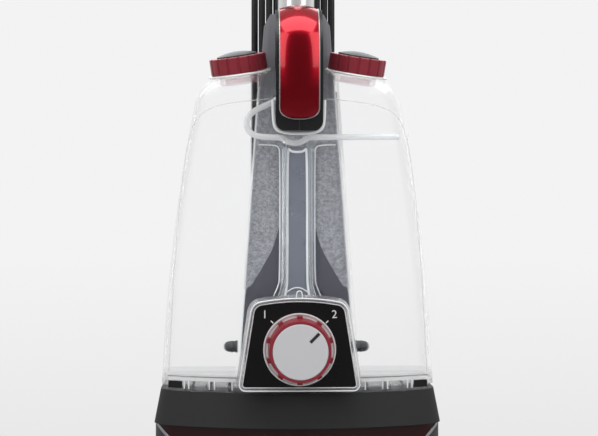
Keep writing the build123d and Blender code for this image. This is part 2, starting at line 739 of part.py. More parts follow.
with BuildPart() as cord_hook:
    tip_y = cord_y + cord_step + cord_radius + 1.7
    rod_y(hook_radius, 0, (tube_y + boss_radius + 0.3, tip_y), hook_high)
    with BuildSketch(front(tip_y + 4.5)):
        with Locations((0, hook_high + 18)):
            RectangleRounded(40, 72, 12)
    extrude(amount=4.5)
    rod_y(5, 0, (tube_y + 10.5, tube_y + boss_radius + 1), hook_high)


# Clean tank: bell-shaped front outline met with the bowed plan, rim rounded, then hollowed.
def tank_form(inset):
    with BuildPart() as form:
        with BuildSketch(front(tank_rear - inset)) as bell:
            with BuildLine():
                mid_z = (tank_low + tank_shoulder_z) / 2
                mid_half = (tank_half + tank_top_half) / 2 + 6.5
                ThreePointArc((tank_half, tank_low), (mid_half, mid_z), (tank_top_half, tank_shoulder_z))
                ThreePointArc((tank_top_half, tank_shoulder_z), (0, tank_top),
                              (-tank_top_half, tank_shoulder_z))
                ThreePointArc((-tank_top_half, tank_shoulder_z), (-mid_half, mid_z), (-tank_half, tank_low))
                Line((-tank_half, tank_low), (tank_half, tank_low))
            make_face()
            fillet(bell.vertices().filter_by(lambda v: v.Y > mid_z), 36)
            if inset:
                offset(amount=-inset)
        extrude(amount=200)
        nose = tank_front + inset
        with BuildSketch(level(tank_low - 40)):
            with BuildLine():
                ThreePointArc((-160, nose + bow(160)), (0, nose), (160, nose + bow(160)))
                Polyline((160, nose + bow(160)), (160, 300), (-160, 300), (-160, nose + bow(160)))
            make_face()
        extrude(amount=420, dir=(0, tank_lean, 1), mode=Mode.INTERSECT)
        rims = form.faces().sort_by(Axis.Y)
        edges = [e for f in (rims[0], rims[-1]) for e in f.edges() if e.center().Z > tank_low + inset + 1]
        fillet(edges, 12 - inset)
    return form.part


def channel(extra):
    gap = 1.6 + extra
    with BuildPart() as cut:
        with BuildSketch(front(tank_rear + 40)):
            Polygon((-spine_half(200) - gap, 200), (spine_half(200) + gap, 200), (spine_half(700) + gap, 700),
                    (-spine_half(700) - gap, 700), align=None)
        extrude(amount=tank_rear + 40 - spine_front_y + gap)
    return cut.part


def dial_outline(plane, grow, amount, taper):
    with BuildPart() as form:
        with BuildSketch(plane) as face:
            with BuildLine():
                Polyline((-43, 387), (-55.4, 308.6), (55.4, 308.6), (43, 387))
                ThreePointArc((43, 387), (0, 391.6), (-43, 387))
            make_face()
            fillet(face.vertices().filter_by(lambda v: v.Y > 350), 9)
            fillet(face.vertices().filter_by(lambda v: v.Y < 320), 3)
            if grow:
                offset(amount=grow)
        extrude(amount=amount, taper=taper)
    return form.part


pocket_back = 18.0
groove_front_half = 19.5
groove_back_half = 9.5


def front_pockets(extra):
    with BuildPart() as cut:
        with BuildSketch(rear(-60)) as cup:
            with Locations((0, 600)):
                RectangleRounded(56 + 2 * extra, 100 + 2 * extra, 26 + extra)
        extrude(amount=60 + pocket_back + extra)
        for y, half in ((-12, groove_front_half), (pocket_back + extra, groove_back_half)):
            with BuildSketch(rear(y)):
                w = half + extra
                Polygon((-w, 570), (-w, 412), (-w - 3, 403), (-w - 12, 393), (-w - 12, 384), (w + 12, 384),
                        (w + 12, 393), (w + 3, 403), (w, 412), (w, 570), align=None)
        loft(ruled=True)
        add(dial_outline(rear(-60), -4 + extra, 60 + 34 + extra, 0))
    return cut.part


cap_planes = []
for s in (-1, 1):
    axis = Vector(s * sin(cap_lean_out), -sin(cap_lean_forward), 1).normalized()
    across = (1, 0, -axis.X / axis.Z)
    cap_planes.append(Plane(origin=(s * cap_x, cap_y, cap_seat_z), x_dir=across, z_dir=axis))

tank_solid = tank_form(0)
with BuildPart() as water:
    add(tank_form(tank_wall))
    block((-300, 300), (-100, 300), (0, tank_floor), Mode.SUBTRACT)
    add(channel(tank_wall), mode=Mode.SUBTRACT)
    add(front_pockets(tank_wall), mode=Mode.SUBTRACT)


def foot_slab(inset):
    half = tank_half - inset
    nose = tank_front + inset
    with BuildPart() as slab:
        with BuildSketch(level(seat_top)):
            with BuildLine():
                ThreePointArc((-half, nose + bow(half)), (0, nose), (half, nose + bow(half)))
                Polyline((half, nose + bow(half)), (half, tank_rear - inset), (-half, tank_rear - inset),
                         (-half, nose + bow(half)))
            make_face()
        extrude(amount=tank_low + 1 - seat_top)
    return slab.part


skirt_inset = 6.0
with BuildPart() as tank_skirt:
    add(foot_slab(skirt_inset))
    add(foot_slab(skirt_inset + tank_wall), mode=Mode.SUBTRACT)
    add(channel(2), mode=Mode.SUBTRACT)
    for s in (-1, 1):
        block((s * 121 - 7, s * 121 + 7), (0, 60), (seat_top - 1, tank_low), Mode.SUBTRACT)

with BuildPart() as clean_tank:
    add(tank_solid)
    add(tank_skirt.part)
    add(channel(0), mode=Mode.SUBTRACT)
    add(front_pockets(0), mode=Mode.SUBTRACT)
    for plane in cap_planes:
        with Locations(plane):
            with Locations((0, 0, flange_top + 15)):
                Cylinder(flange_radius, 30, mode=Mode.SUBTRACT)
            with Locations((0, 0, -2)):
                Cylinder(neck_radius, 24)
            with Locations((0, 0, flange_top - 1.25)):
                Cylinder(flange_radius, 2.5)
    add(water.part, mode=Mode.SUBTRACT)
    for plane in cap_planes:
        with Locations(plane):
            Cylinder(neck_radius - 2.6, 40, mode=Mode.SUBTRACT)
    for s in (-1, 1):
        block((s * 122 - 4, s * 122 + 4), (40, 88), (seat_top, tank_low + 2))
        for x in (68, 86, 104):
            block((s * x - 1.5, s * x + 1.5), (14, 86), (seat_top, tank_low + 2))
    rod_x(5, (101, 110), tube_path_y, 553)
    block((-8, 4), (tube_path_y - 6, tube_path_y + 6), (590, tank_top - 2))
    rod_z(6.2, 0, valve_y, (seat_top - 2, tank_floor + 1), Mode.SUBTRACT)

# Tubing inside the tank: from a fitting on the right wall, over a dip, up behind the handle.
with BuildPart() as inner_tube:
    with BuildLine() as run:
        FilletPolyline(
            (101, tube_path_y, 553), (26, tube_path_y, 552), (12, tube_path_y, 541),
            (-6, tube_path_y, 541), (-19, tube_path_y, 551), (-44, tube_path_y, 551),
            (-55, tube_path_y, 568), (-36, tube_path_y, 596), (-8, tube_path_y, 596),
            radius=(9, 9, 9, 9, 9, 12, 12),
        )
    with BuildSketch(Plane(origin=(101, tube_path_y, 553), z_dir=run.wires()[0].tangent_at(0))):
        Circle(3.3)
        Circle(2.2, mode=Mode.SUBTRACT)
    sweep(path=run.wires()[0])

with BuildPart() as outlet_valve:
    rod_z(6, 0, valve_y, (seat_top - 5, tank_floor + 10))
    rod_z(9.6, 0, valve_y, (tank_floor, tank_floor + 3))

with BuildPart() as outlet_filters:
    for s in (-1, 1):
        inner = spine_half(338) + 0.8 + tank_wall
        rod_x(6.5, (min(s * inner, s * (inner + 14)), max(s * inner, s * (inner + 14))), 80, 340)
    add(clean_tank.part, mode=Mode.SUBTRACT)

# Dial: clear bezel round a black plate, a dish, a red ring with lugs and a grey face.
with BuildPart() as dial_bezel:
    add(dial_outline(rear(plate_front - 1.4), 3, 30, -9))
    add(tank_solid, mode=Mode.SUBTRACT)
    add(dial_outline(rear(plate_front - 2), 0.15, 2 + plate_thick, 0), mode=Mode.SUBTRACT)
    add(dial_outline(rear(plate_front - 2), -4, 60, 0), mode=Mode.SUBTRACT)
    block((-200, 200), (-100, 100), (200, tank_low - 3), Mode.SUBTRACT)
    block((-200, 200), (tank_front, 100), (200, tank_low), Mode.SUBTRACT)

with BuildPart() as dial_plate:
    add(dial_outline(rear(plate_front), 0, plate_thick, 0))
    rod_y(7, 0, (plate_front - 10, plate_front + 10), dial_z, Mode.SUBTRACT)

with BuildPart() as dial_dish:
    rod_y(35, 0, (plate_front - 2, plate_front), dial_z)
    rod_y(33.5, 0, (plate_front - 4, plate_front - 1), dial_z, Mode.SUBTRACT)
    rod_y(7, 0, (plate_front - 10, plate_front + 10), dial_z, Mode.SUBTRACT)

knob_rear = plate_front - 1.4
with BuildPart() as knob_ring:
    with BuildSketch(front(knob_rear)):
        with Locations((0, dial_z)):
            Circle(knob_radius)
    extrude(amount=knob_rear - knob_front, taper=3)
    for k in range(10):
        a = radians(54 + 36 * k)
        with Locations(Location((30.2 * cos(a), knob_rear - 6, dial_z + 30.2 * sin(a)), (0, -degrees(a), 0))):
            Box(5.4, 12, 5)
    rod_y(knob_face_radius + 0.15, 0, (knob_front - 5, knob_front + 6), dial_z, Mode.SUBTRACT)
    rod_y(6.4, 0, (knob_front + 6, plate_front + 12), dial_z)

with BuildPart() as knob_face:
    rod_y(knob_face_radius, 0, (knob_front - 0.5, knob_front + 6), dial_z)
    fillet(knob_face.edges().filter_by(GeomType.CIRCLE).group_by(Axis.Y)[0], 1)
    pointer = 19 * sqrt(0.5)
    with Locations(Location((pointer, knob_front - 0.5, dial_z + pointer), (0, -45, 0))):
        Box(12, 1.6, 3, mode=Mode.SUBTRACT)

with BuildPart() as selector_valve:
    rod_y(18, 0, (plate_front + plate_thick, pocket_back + 12), dial_z)
    for s in (-1, 1):
        rod_x(4, (min(s * 12, s * 30), max(s * 12, s * 30)), 14, dial_z)
    rod_y(6.4 + running, 0, (plate_front, plate_front + 12.5), dial_z, Mode.SUBTRACT)

# Carry handle: black arch from the front pocket to the tank top, red skin over its front and crown.
arch_low = 556.5
arch_points = [(-9, arch_low), (-16, 600), (-13, 646), (4, 670), (24, 677), (40, 669), (47, 650)]


def raised(points, lift):
    moved = []
    for i, (y, z) in enumerate(points):
        before = points[max(i - 1, 0)]
        after = points[min(i + 1, len(points) - 1)]
        ty = after[0] - before[0]
        tz = after[1] - before[1]
        run = sqrt(ty * ty + tz * tz)
        moved.append((y - lift * tz / run, z + lift * ty / run))
    return moved


with BuildPart() as arch_form:
    with BuildSketch(flank(0)):
        pocket_face = pocket_back - play
        with BuildLine():
            Polyline((2, 590), (pocket_face, 578), (pocket_face, arch_low), arch_points[0])
            Spline(*arch_points)
            Polyline(arch_points[-1], (47, 600), (31, 600), (31, 640))
            Spline((31, 640), (26, 654), (14, 659), (3, 648), (0, 628), tangents=((0, 1), (0, -1)))
            Line((0, 628), (2, 590))
        make_face()
    extrude(amount=60, both=True)

with BuildPart() as pocketed:
    add(tank_solid)
    add(front_pockets(0), mode=Mode.SUBTRACT)

frame_half = 22.8
panel_half = 19.0
with BuildPart() as handle_frame:
    with BuildSketch(front(60)):
        with Locations((0, arch_low + 90)):
            RectangleRounded(2 * frame_half, 180, 9)
    extrude(amount=120)
    add(arch_form.part, mode=Mode.INTERSECT)
    add(pocketed.part, mode=Mode.SUBTRACT)

with BuildPart() as handle_panel:
    with BuildSketch(flank(0)):
        skin_points = raised(arch_points, 1.3)
        with BuildLine():
            Spline(*arch_points)
            Line(arch_points[-1], skin_points[-1])
            Spline(*reversed(skin_points))
            Line(skin_points[0], arch_points[0])
        make_face()
    extrude(amount=60, both=True)
    with BuildSketch(front(60)):
        with Locations((0, 640)):
            RectangleRounded(2 * panel_half, 146, 10)
    extrude(amount=120, mode=Mode.INTERSECT)
    block((-60, 60), (30, 80), (500, 800), Mode.SUBTRACT)

# Screw caps: a fluted red ring holds down a domed disc.
disc_radius = neck_radius - 2.8
cap_names = ("left", "right")
for name, plane in zip(cap_names, cap_planes):
    with BuildPart(plane) as cap_ring:
        with Locations((0, 0, 10.5)):
            Cylinder(cap_radius, 16.4)
        fillet(cap_ring.edges().filter_by(GeomType.CIRCLE), 1.2)
        with Locations((0, 0, 10.5)):
            with PolarLocations(cap_radius + 0.3, 16):
                Cylinder(1.4, 20, mode=Mode.SUBTRACT)
        with Locations((0, 0, 8.6)):
            Cylinder(neck_radius + 0.5, 16.8, mode=Mode.SUBTRACT)
        with Locations((0, 0, 17)):
            Cylinder(disc_radius + 0.3, 12, mode=Mode.SUBTRACT)
    finish(cap_ring, "cap_ring_" + name)
    with BuildPart(plane) as cap_disc:
        with Locations((0, 0, 17)):
            Cylinder(disc_radius, 14)
        with Locations((0, 0, 23.5 - 60)):
            Sphere(60, mode=Mode.INTERSECT)
        with Locations((0, 0, 13.5)):
            Cylinder(neck_radius + 0.3, 6.6)
    finish(cap_disc, "cap_disc_" + name)

# Power cord: two flat layers of racetrack turns round the hooks, one unbroken tube.
columns = [-43.0, 39.1, -35.2, 31.3, -27.4, 23.5, -19.6]
climb = 120.0
outer_y = cord_y + cord_step
path = [("line", (columns[0], cord_y, gland_top), (columns[0], cord_y, hook_high))]


def half_turn(x0, x1, y, z, up):
    r = abs(x1 - x0) / 2
    mid = ((x0 + x1) / 2, y, z + r if up else z - r)
    return ("arc", (x0, y, z), mid, (x1, y, z))


for i in range(1, len(columns)):
    up = i % 2 == 1
    z0, z1 = (hook_high, hook_low) if up else (hook_low, hook_high)
    path.append(half_turn(columns[i - 1], columns[i], cord_y, z0, up))
    if i < len(columns) - 1:
        path.append(("line", (columns[i], cord_y, z0), (columns[i], cord_y, z1)))
x = columns[-1]
z_mid = (hook_low + hook_high) / 2
swing = 2 * atan(cord_step / climb)
bend = climb / (2 * sin(swing))
sag = bend * (1 - cos(swing / 2))
rise = bend * sin(swing / 2)
path.append(("line", (x, cord_y, hook_low), (x, cord_y, z_mid - climb / 2)))
path.append(("arc", (x, cord_y, z_mid - climb / 2), (x, cord_y + sag, z_mid - climb / 2 + rise),
             (x, cord_y + cord_step / 2, z_mid)))
path.append(("arc", (x, cord_y + cord_step / 2, z_mid), (x, outer_y - sag, z_mid + climb / 2 - rise),
             (x, outer_y, z_mid + climb / 2)))
path.append(("line", (x, outer_y, z_mid + climb / 2), (x, outer_y, hook_high)))
outer_columns = [-19.6, 23.5, -27.4, 31.3, -35.2, 39.1]
for i in range(1, len(outer_columns)):
    up = i % 2 == 1
    z0, z1 = (hook_high, hook_low) if up else (hook_low, hook_high)
    path.append(half_turn(outer_columns[i - 1], outer_columns[i], outer_y, z0, up))
    last = i == len(outer_columns) - 1
    end_z = plug_top if last else z1
    path.append(("line", (outer_columns[i], outer_y, z0), (outer_columns[i], outer_y, end_z)))

with BuildPart() as power_cord:
    with BuildLine() as cord_run:
        for piece in path:
            if piece[0] == "line":
                Line(piece[1], piece[2])
            else:
                ThreePointArc(piece[1], piece[2], piece[3])
    with BuildSketch(Plane(origin=path[0][1], z_dir=(0, 0, 1))):
        Circle(cord_radius)
    sweep(path=cord_run.wires()[0])

cord_length = cord_run.wires()[0].length
samples = [cord_run.wires()[0].position_at(k / 1800) for k in range(1801)]
near = [
    (samples[a] - samples[b]).length
    for a in range(0, 1801, 3) for b in range(a + 9, 1801, 3)
]
print("cord length", round(cord_length), "least gap", round(min(near) - 2 * cord_radius, 2))

with BuildPart() as cord_gland:
    with BuildSketch(level(gland_top)):
        with Locations((columns[0], cord_y)):
            Circle(4.6)
    with BuildSketch(level(418)):
        with Locations((columns[0], cord_y)):
            Circle(6.4)
    loft()

with BuildPart() as power_plug:
    px = outer_columns[-1]
    with BuildSketch(level(plug_top)):
        with Locations((px, outer_y)):
            Circle(4.6)
    with BuildSketch(level(plug_top - 20)):
        with Locations((px, outer_y)):
            Circle(6.2)
    loft()
    block((px - 11, px + 11), (outer_y - 8, outer_y + 8), (plug_top - 48, plug_top - 18))
    fillet(power_plug.edges().filter_by(Axis.Z), 3)
    for s in (-1, 1):
        blade_x = px + s * 6.3
        block((blade_x - 0.8, blade_x + 0.8), (outer_y - 3.2, outer_y + 3.2), (plug_top - 66, plug_top - 47))

for label, piece in (
    ("base_pan", base_pan), ("base_hood", base_hood), ("nozzle_duct", nozzle_duct),
    ("nozzle_lip", nozzle_lip), ("brush_block", brush_block), ("drive_pinion", drive_pinion),
    ("motor_pulley", motor_pulley), ("drive_belt", drive_belt), ("brush_motor", brush_motor),
    ("suction_motor", suction_motor), ("fan_housing", fan_housing), ("fan_impeller", fan_impeller),
    ("solution_pump", solution_pump), ("spray_bar", spray_bar), ("rear_axle", rear_axle),
    ("release_pedal", release_pedal), ("recovery_tank", recovery_tank), ("recovery_lid", recovery_lid),
    ("recovery_float", recovery_float), ("recovery_bail", recovery_bail), ("tank_seat", tank_seat),
    ("lower_housing", lower_housing), ("front_panel", front_panel), ("side_trim", side_trim),
    ("spine_front", spine_front), ("spine_back", spine_back), ("handle_tube", handle_tube),
    ("handle_left", handle_left), ("handle_right", handle_right), ("trigger", trigger),
    ("power_switch", power_switch), ("cord_hook", cord_hook), ("clean_tank", clean_tank),
    ("inner_tube", inner_tube), ("outlet_valve", outlet_valve), ("outlet_filters", outlet_filters),
    ("dial_bezel", dial_bezel), ("dial_plate", dial_plate), ("dial_dish", dial_dish),
    ("knob_ring", knob_ring), ("knob_face", knob_face), ("selector_valve", selector_valve),
    ("handle_frame", handle_frame), ("handle_panel", handle_panel), ("power_cord", power_cord),
    ("cord_gland", cord_gland), ("power_plug", power_plug),
):
    finish(piece, label)
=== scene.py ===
import math

import bmesh
import bpy
from mathutils import Matrix, Vector


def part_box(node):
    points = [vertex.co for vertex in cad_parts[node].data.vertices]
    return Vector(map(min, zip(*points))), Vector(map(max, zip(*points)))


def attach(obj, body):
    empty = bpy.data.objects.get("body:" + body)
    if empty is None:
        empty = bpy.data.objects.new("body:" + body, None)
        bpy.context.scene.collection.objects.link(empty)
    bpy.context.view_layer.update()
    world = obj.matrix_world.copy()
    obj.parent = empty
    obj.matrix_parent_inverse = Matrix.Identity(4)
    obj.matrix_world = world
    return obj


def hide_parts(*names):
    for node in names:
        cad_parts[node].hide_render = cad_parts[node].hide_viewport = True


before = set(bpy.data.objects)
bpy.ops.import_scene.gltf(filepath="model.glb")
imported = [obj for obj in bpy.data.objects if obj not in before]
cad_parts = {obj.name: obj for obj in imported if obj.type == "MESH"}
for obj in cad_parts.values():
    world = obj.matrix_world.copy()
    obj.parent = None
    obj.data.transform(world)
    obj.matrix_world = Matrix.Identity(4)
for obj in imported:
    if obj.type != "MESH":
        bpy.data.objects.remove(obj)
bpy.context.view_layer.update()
scene = bpy.context.scene
scene.view_settings.view_transform = "Standard"

# Studio: a long lens level with the middle of the tank, a pale floor and softboxes.
# Two raised boxes flank the camera, one hangs over the machine and one stands behind, high up.
photo_width = 598
focal_px = 1400
eye = bpy.data.cameras.new("front_lens")
eye.sensor_width = 36.0
eye.lens = eye.sensor_width * focal_px / photo_width
eye.clip_end = 50
camera = bpy.data.objects.new("front_camera", eye)
camera.location = (-0.045, -1.360, 0.472)
camera.rotation_euler = (math.radians(90), 0, math.radians(-1.89))
scene.collection.objects.link(camera)
scene.camera = camera


def softbox(name, place, aim, size, watts):
    lamp = bpy.data.lights.new(name, "AREA")
    lamp.shape = "RECTANGLE"
    lamp.size = size[0]
    lamp.size_y = size[1]
    lamp.energy = watts
    rig = bpy.data.objects.new(name, lamp)
    rig.location = place
    rig.rotation_euler = (Vector(aim) - Vector(place)).to_track_quat("-Z", "Y").to_euler()
    scene.collection.objects.link(rig)


softbox("softbox_left", (-1.5, -1.35, 1.62), (0, 0, 0.75), (1.1, 1.5), watts=12)
softbox("softbox_right", (1.5, -1.35, 1.62), (0, 0, 0.75), (1.1, 1.5), watts=12)
softbox("softbox_top", (0, -0.55, 2.4), (0, 0, 0.6), (2.3, 1.4), watts=32)
softbox("softbox_back", (0, 1.8, 1.7), (0, 0, 0.6), (2.2, 1.4), watts=18)


def add_node(tree, kind, values=(), **settings):
    node = tree.nodes.new(kind)
    for name, value in settings.items():
        setattr(node, name, value)
    for label, value in dict(values).items():
        node.inputs[label].default_value = value
    return node


def join(tree, source, outlet, target, inlet):
    tree.links.new(source.outputs[outlet], target.inputs[inlet])


air = bpy.data.worlds.new("studio_air")
scene.world = air
air.use_nodes = True
sky = air.node_tree
sky.nodes.clear()
sky_out = add_node(sky, "ShaderNodeOutputWorld")
seen = add_node(sky, "ShaderNodeBackground")
mirrored = add_node(sky, "ShaderNodeBackground")
fill = add_node(sky, "ShaderNodeBackground")
heading = add_node(sky, "ShaderNodeTexCoord")
split = add_node(sky, "ShaderNodeSeparateXYZ")
join(sky, heading, "Generated", split, 0)
for part, low, high, dark, pale, shader in (
    ("Z", -0.17, -0.03, (0.80, 0.80, 0.805, 1), (0.895, 0.895, 0.905, 1), seen),
    ("Y", -0.5, 0.45, (0.10, 0.10, 0.105, 1), (0.62, 0.62, 0.62, 1), mirrored),
    ("Y", -0.5, 0.45, (0.40, 0.40, 0.41, 1), (0.60, 0.60, 0.60, 1), fill),
):
    span = add_node(sky, "ShaderNodeMapRange", {"From Min": low, "From Max": high})
    fade = add_node(sky, "ShaderNodeMix", {"A": dark, "B": pale}, data_type="RGBA")
    join(sky, split, part, span, "Value")
    join(sky, span, "Result", fade, "Factor")
    join(sky, fade, "Result", shader, "Color")
rays = add_node(sky, "ShaderNodeLightPath")
direct = add_node(sky, "ShaderNodeMath", operation="MAXIMUM")
bounce = add_node(sky, "ShaderNodeMixShader")
pick = add_node(sky, "ShaderNodeMixShader")
join(sky, rays, "Is Camera Ray", direct, 0)
join(sky, rays, "Is Transmission Ray", direct, 1)
join(sky, rays, "Is Glossy Ray", bounce, "Fac")
join(sky, fill, 0, bounce, 1)
join(sky, mirrored, 0, bounce, 2)
join(sky, direct, 0, pick, "Fac")
join(sky, bounce, 0, pick, 1)
join(sky, seen, 0, pick, 2)
join(sky, pick, 0, sky_out, "Surface")


def new_paint(name, values):
    mat = bpy.data.materials.new(name)
    mat.use_nodes = True
    skin = mat.node_tree.nodes["Principled BSDF"]
    for label, value in values.items():
        skin.inputs[label].default_value = value
    return mat, mat.node_tree, skin


floor_half = 3.0
floor_far = 1.6
floor_z = -0.0005
floor_mesh = bpy.data.meshes.new("studio_floor")
floor_corners = [(-floor_half, -floor_half, floor_z), (floor_half, -floor_half, floor_z),
                 (floor_half, floor_far, floor_z), (-floor_half, floor_far, floor_z)]
floor_mesh.from_pydata(floor_corners, [], [(0, 1, 2, 3)])
floor = bpy.data.objects.new("studio_floor", floor_mesh)
scene.collection.objects.link(floor)
floor_paint, floor_tree, floor_skin = new_paint("floor_paint", {"Roughness": 0.7})
floor_tones = {"A": (0.62, 0.62, 0.62, 1), "B": (0.16, 0.16, 0.165, 1)}
floor_rays = add_node(floor_tree, "ShaderNodeLightPath")
floor_tone = add_node(floor_tree, "ShaderNodeMix", floor_tones, data_type="RGBA")
floor_mirror = add_node(floor_tree, "ShaderNodeMath", operation="SUBTRACT", use_clamp=True)
join(floor_tree, floor_rays, "Is Glossy Ray", floor_mirror, 0)
join(floor_tree, floor_rays, "Is Transmission Ray", floor_mirror, 1)
join(floor_tree, floor_mirror, 0, floor_tone, "Factor")
join(floor_tree, floor_tone, "Result", floor_skin, "Base Color")
floor_mesh.materials.append(floor_paint)


# Power cord: a round flexible lead in black rubber, wound in two flat layers of long turns
# round the two hooks behind the tube. Its start is moulded into the gland, its end into the plug.
def moulding(name, tone, rough, vary=0.12, grain=2.2, depth=0.06, edge=0.7, metal=0.0, coat=0.0):
    mat, tree, skin = new_paint(name, {"Metallic": metal, "Coat Weight": coat, "Coat Roughness": 0.05})
    dark = (*[c * (1 - vary) for c in tone], 1)
    pale = (*[min(1, c * (1 + vary)) for c in tone], 1)
    glossiest = max(0.02, rough - 0.06)
    dullest = rough + 0.06
    spot = add_node(tree, "ShaderNodeTexCoord")
    cloud = add_node(tree, "ShaderNodeTexNoise", {"Scale": 16, "Detail": 4})
    tint = add_node(tree, "ShaderNodeMix", {"A": dark, "B": pale}, data_type="RGBA")
    polish = add_node(tree, "ShaderNodeMapRange", {"To Min": glossiest, "To Max": dullest})
    sand = add_node(tree, "ShaderNodeTexNoise", {"Scale": 1000 / grain, "Detail": 2})
    dent = add_node(tree, "ShaderNodeBump", {"Strength": depth, "Distance": 0.0004})
    round_off = add_node(tree, "ShaderNodeBevel", {"Radius": edge / 1000}, samples=4)
    join(tree, spot, "Object", cloud, "Vector")
    join(tree, spot, "Object", sand, "Vector")
    join(tree, cloud, "Fac", tint, "Factor")
    join(tree, cloud, "Fac", polish, "Value")
    join(tree, tint, "Result", skin, "Base Color")
    join(tree, polish, "Result", skin, "Roughness")
    join(tree, sand, "Fac", dent, "Height")
    join(tree, round_off, "Normal", dent, "Normal")
    join(tree, dent, "Normal", skin, "Normal")
    return mat


rubber = moulding("black_rubber", (0.013, 0.013, 0.014), 0.45, depth=0.10, edge=0.5)
cord_width = 0.007
inner_y = 0.139
outer_y = 0.1468
hook_low = 0.495
hook_high = 0.906
run_in = 0.042
cord_start_z = 0.452
cord_end_z = 0.440
climb_mid = (hook_low + hook_high) / 2
climb_half = 0.06
inner_columns = [-0.043, 0.0391, -0.0352, 0.0313, -0.0274, 0.0235, -0.0196]
outer_columns = [-0.0196, 0.0235, -0.0274, 0.0313, -0.0352, 0.0391]
cord_route = [(inner_columns[0], inner_y, cord_start_z), (inner_columns[0], inner_y, hook_high - run_in)]


def wind(columns, y):
    for i in range(1, len(columns)):
        x0, x1 = columns[i - 1:i + 1]
        over_top = i % 2 == 1
        hook = hook_high if over_top else hook_low
        way = 1 if over_top else -1
        reach = way * abs(x1 - x0) / 2
        cord_route.extend([(x0, y, hook + reach), (x1, y, hook + reach), (x1, y, hook - way * run_in)])
        if i < len(columns) - 1:
            cord_route.append((x1, y, hook_low + run_in if over_top else hook_high - run_in))


def round_wire(name, runs, radius, roundness, steps, closed=False):
    wire = bpy.data.curves.new(name, "CURVE")
    wire.dimensions = "3D"
    wire.bevel_depth = radius
    wire.bevel_resolution = roundness
    for run in runs:
        line = wire.splines.new("NURBS")
        line.points.add(len(run) - 1)
        for point, place in zip(line.points, run):
            point.co = (*place, 1)
        line.order_u = 3
        line.use_endpoint_u = True
        line.use_cyclic_u = closed
        line.resolution_u = steps
    holder = bpy.data.objects.new(name, wire)
    scene.collection.objects.link(holder)
    return holder


wind(inner_columns, inner_y)
cord_route.append((inner_columns[-1], inner_y, climb_mid - climb_half))
cord_route.append((inner_columns[-1], outer_y, climb_mid + climb_half))
cord_route.append((inner_columns[-1], outer_y, hook_high - run_in))
wind(outer_columns, outer_y)
cord_route.append((outer_columns[-1], outer_y, cord_end_z))
cord = round_wire("power_lead", [cord_route], cord_width / 2, roundness=5, steps=10)
cord.data.materials.append(rubber)
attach(cord, "upright")
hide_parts("power_cord")


# Gland and plug: soft rubber moulded over the two ends of the lead; the plug has two flat pins.
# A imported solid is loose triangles, so every skin is a welded copy, smooth but for its true edges.
def plain_mesh(holder):
    bpy.context.view_layer.update()
    return bpy.data.meshes.new_from_object(holder.evaluated_get(bpy.context.evaluated_depsgraph_get()))


def skin_of(node, body, paint, crease=28, split_z=None, low_paint=None):
    weld_gap = 0.000004
    cut_gap = 0.000001
    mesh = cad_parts[node].data.copy()
    mesh.materials.clear()
    shell = bmesh.new()
    shell.from_mesh(mesh)
    bmesh.ops.remove_doubles(shell, verts=shell.verts, dist=weld_gap)
    if low_paint:
        whole = shell.verts[:] + shell.edges[:] + shell.faces[:]
        bmesh.ops.bisect_plane(shell, geom=whole, dist=cut_gap, plane_co=(0, 0, split_z), plane_no=(0, 0, 1))
        for face in shell.faces:
            face.material_index = int(face.calc_center_median().z < split_z)
    shell.normal_update()
    for face in shell.faces:
        face.smooth = True
    for edge in shell.edges:
        edge.smooth = edge.calc_face_angle(math.pi) < math.radians(crease)
    shell.to_mesh(mesh)
    shell.free()
    mesh.materials.append(paint)
    if low_paint:
        mesh.materials.append(low_paint)
    piece = bpy.data.objects.new(node + "_skin", mesh)
    scene.collection.objects.link(piece)
    even = piece.modifiers.new("even_shading", "WEIGHTED_NORMAL")
    even.keep_sharp = True
    piece.data = plain_mesh(piece)
    piece.modifiers.remove(even)
    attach(piece, body)
    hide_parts(node)
    return piece


skin_of("cord_gland", "upright", rubber)
plug_steel = moulding("nickel_pins", (0.62, 0.61, 0.58), 0.24, metal=1.0, edge=0.2)
pin_length = 0.018
pin_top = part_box("power_plug")[0][2] + pin_length
plug = skin_of("power_plug", "upright", rubber, split_z=pin_top, low_paint=plug_steel)


# Clean water tank: one blow-moulded clear shell, thin-walled, with a deep front groove, a rear
# channel that slides over the spine, two fill necks on top and a short ribbed skirt underneath.
def clear_plastic(name, tone, see_through, ior, rough, milk=0.0, gloss=0.0, side_shade_share=1.0):
    looks = {"Transmission Weight": 1.0 - milk, "IOR": ior, "Alpha": 1.0 - see_through,
             "Coat Weight": gloss, "Coat Roughness": 0.02}
    mat, tree, skin = new_paint(name, looks)
    hazy_tone = (*[c * 0.98 for c in tone], 1)
    side_shade_tone = (*[c * side_shade_share for c in tone], 1)
    spot = add_node(tree, "ShaderNodeTexCoord")
    haze = add_node(tree, "ShaderNodeTexNoise", {"Scale": 40, "Detail": 3})
    tint = add_node(tree, "ShaderNodeMix", {"A": hazy_tone, "B": (*tone, 1)}, data_type="RGBA")
    span = add_node(tree, "ShaderNodeMapRange", {"To Min": rough * 0.5, "To Max": rough * 1.5})
    join(tree, spot, "Object", haze, "Vector")
    join(tree, haze, "Fac", tint, "Factor")
    join(tree, tint, "Result", skin, "Base Color")
    # Faces turned sideways are tinted darker: painted shade along the sides of the clear shell.
    if side_shade_share < 1:
        facing = add_node(tree, "ShaderNodeSeparateXYZ")
        sideways = add_node(tree, "ShaderNodeMath", operation="ABSOLUTE")
        reach = add_node(tree, "ShaderNodeMapRange", {"From Min": 0.45, "From Max": 0.95})
        painted_side_shade = add_node(tree, "ShaderNodeMix", {"B": side_shade_tone}, data_type="RGBA")
        join(tree, spot, "Normal", facing, 0)
        join(tree, facing, "X", sideways, 0)
        join(tree, sideways, 0, reach, "Value")
        join(tree, reach, "Result", painted_side_shade, "Factor")
        join(tree, tint, "Result", painted_side_shade, "A")
        join(tree, painted_side_shade, "Result", skin, "Base Color")
    join(tree, haze, "Fac", span, "Value")
    join(tree, span, "Result", skin, "Roughness")
    return mat
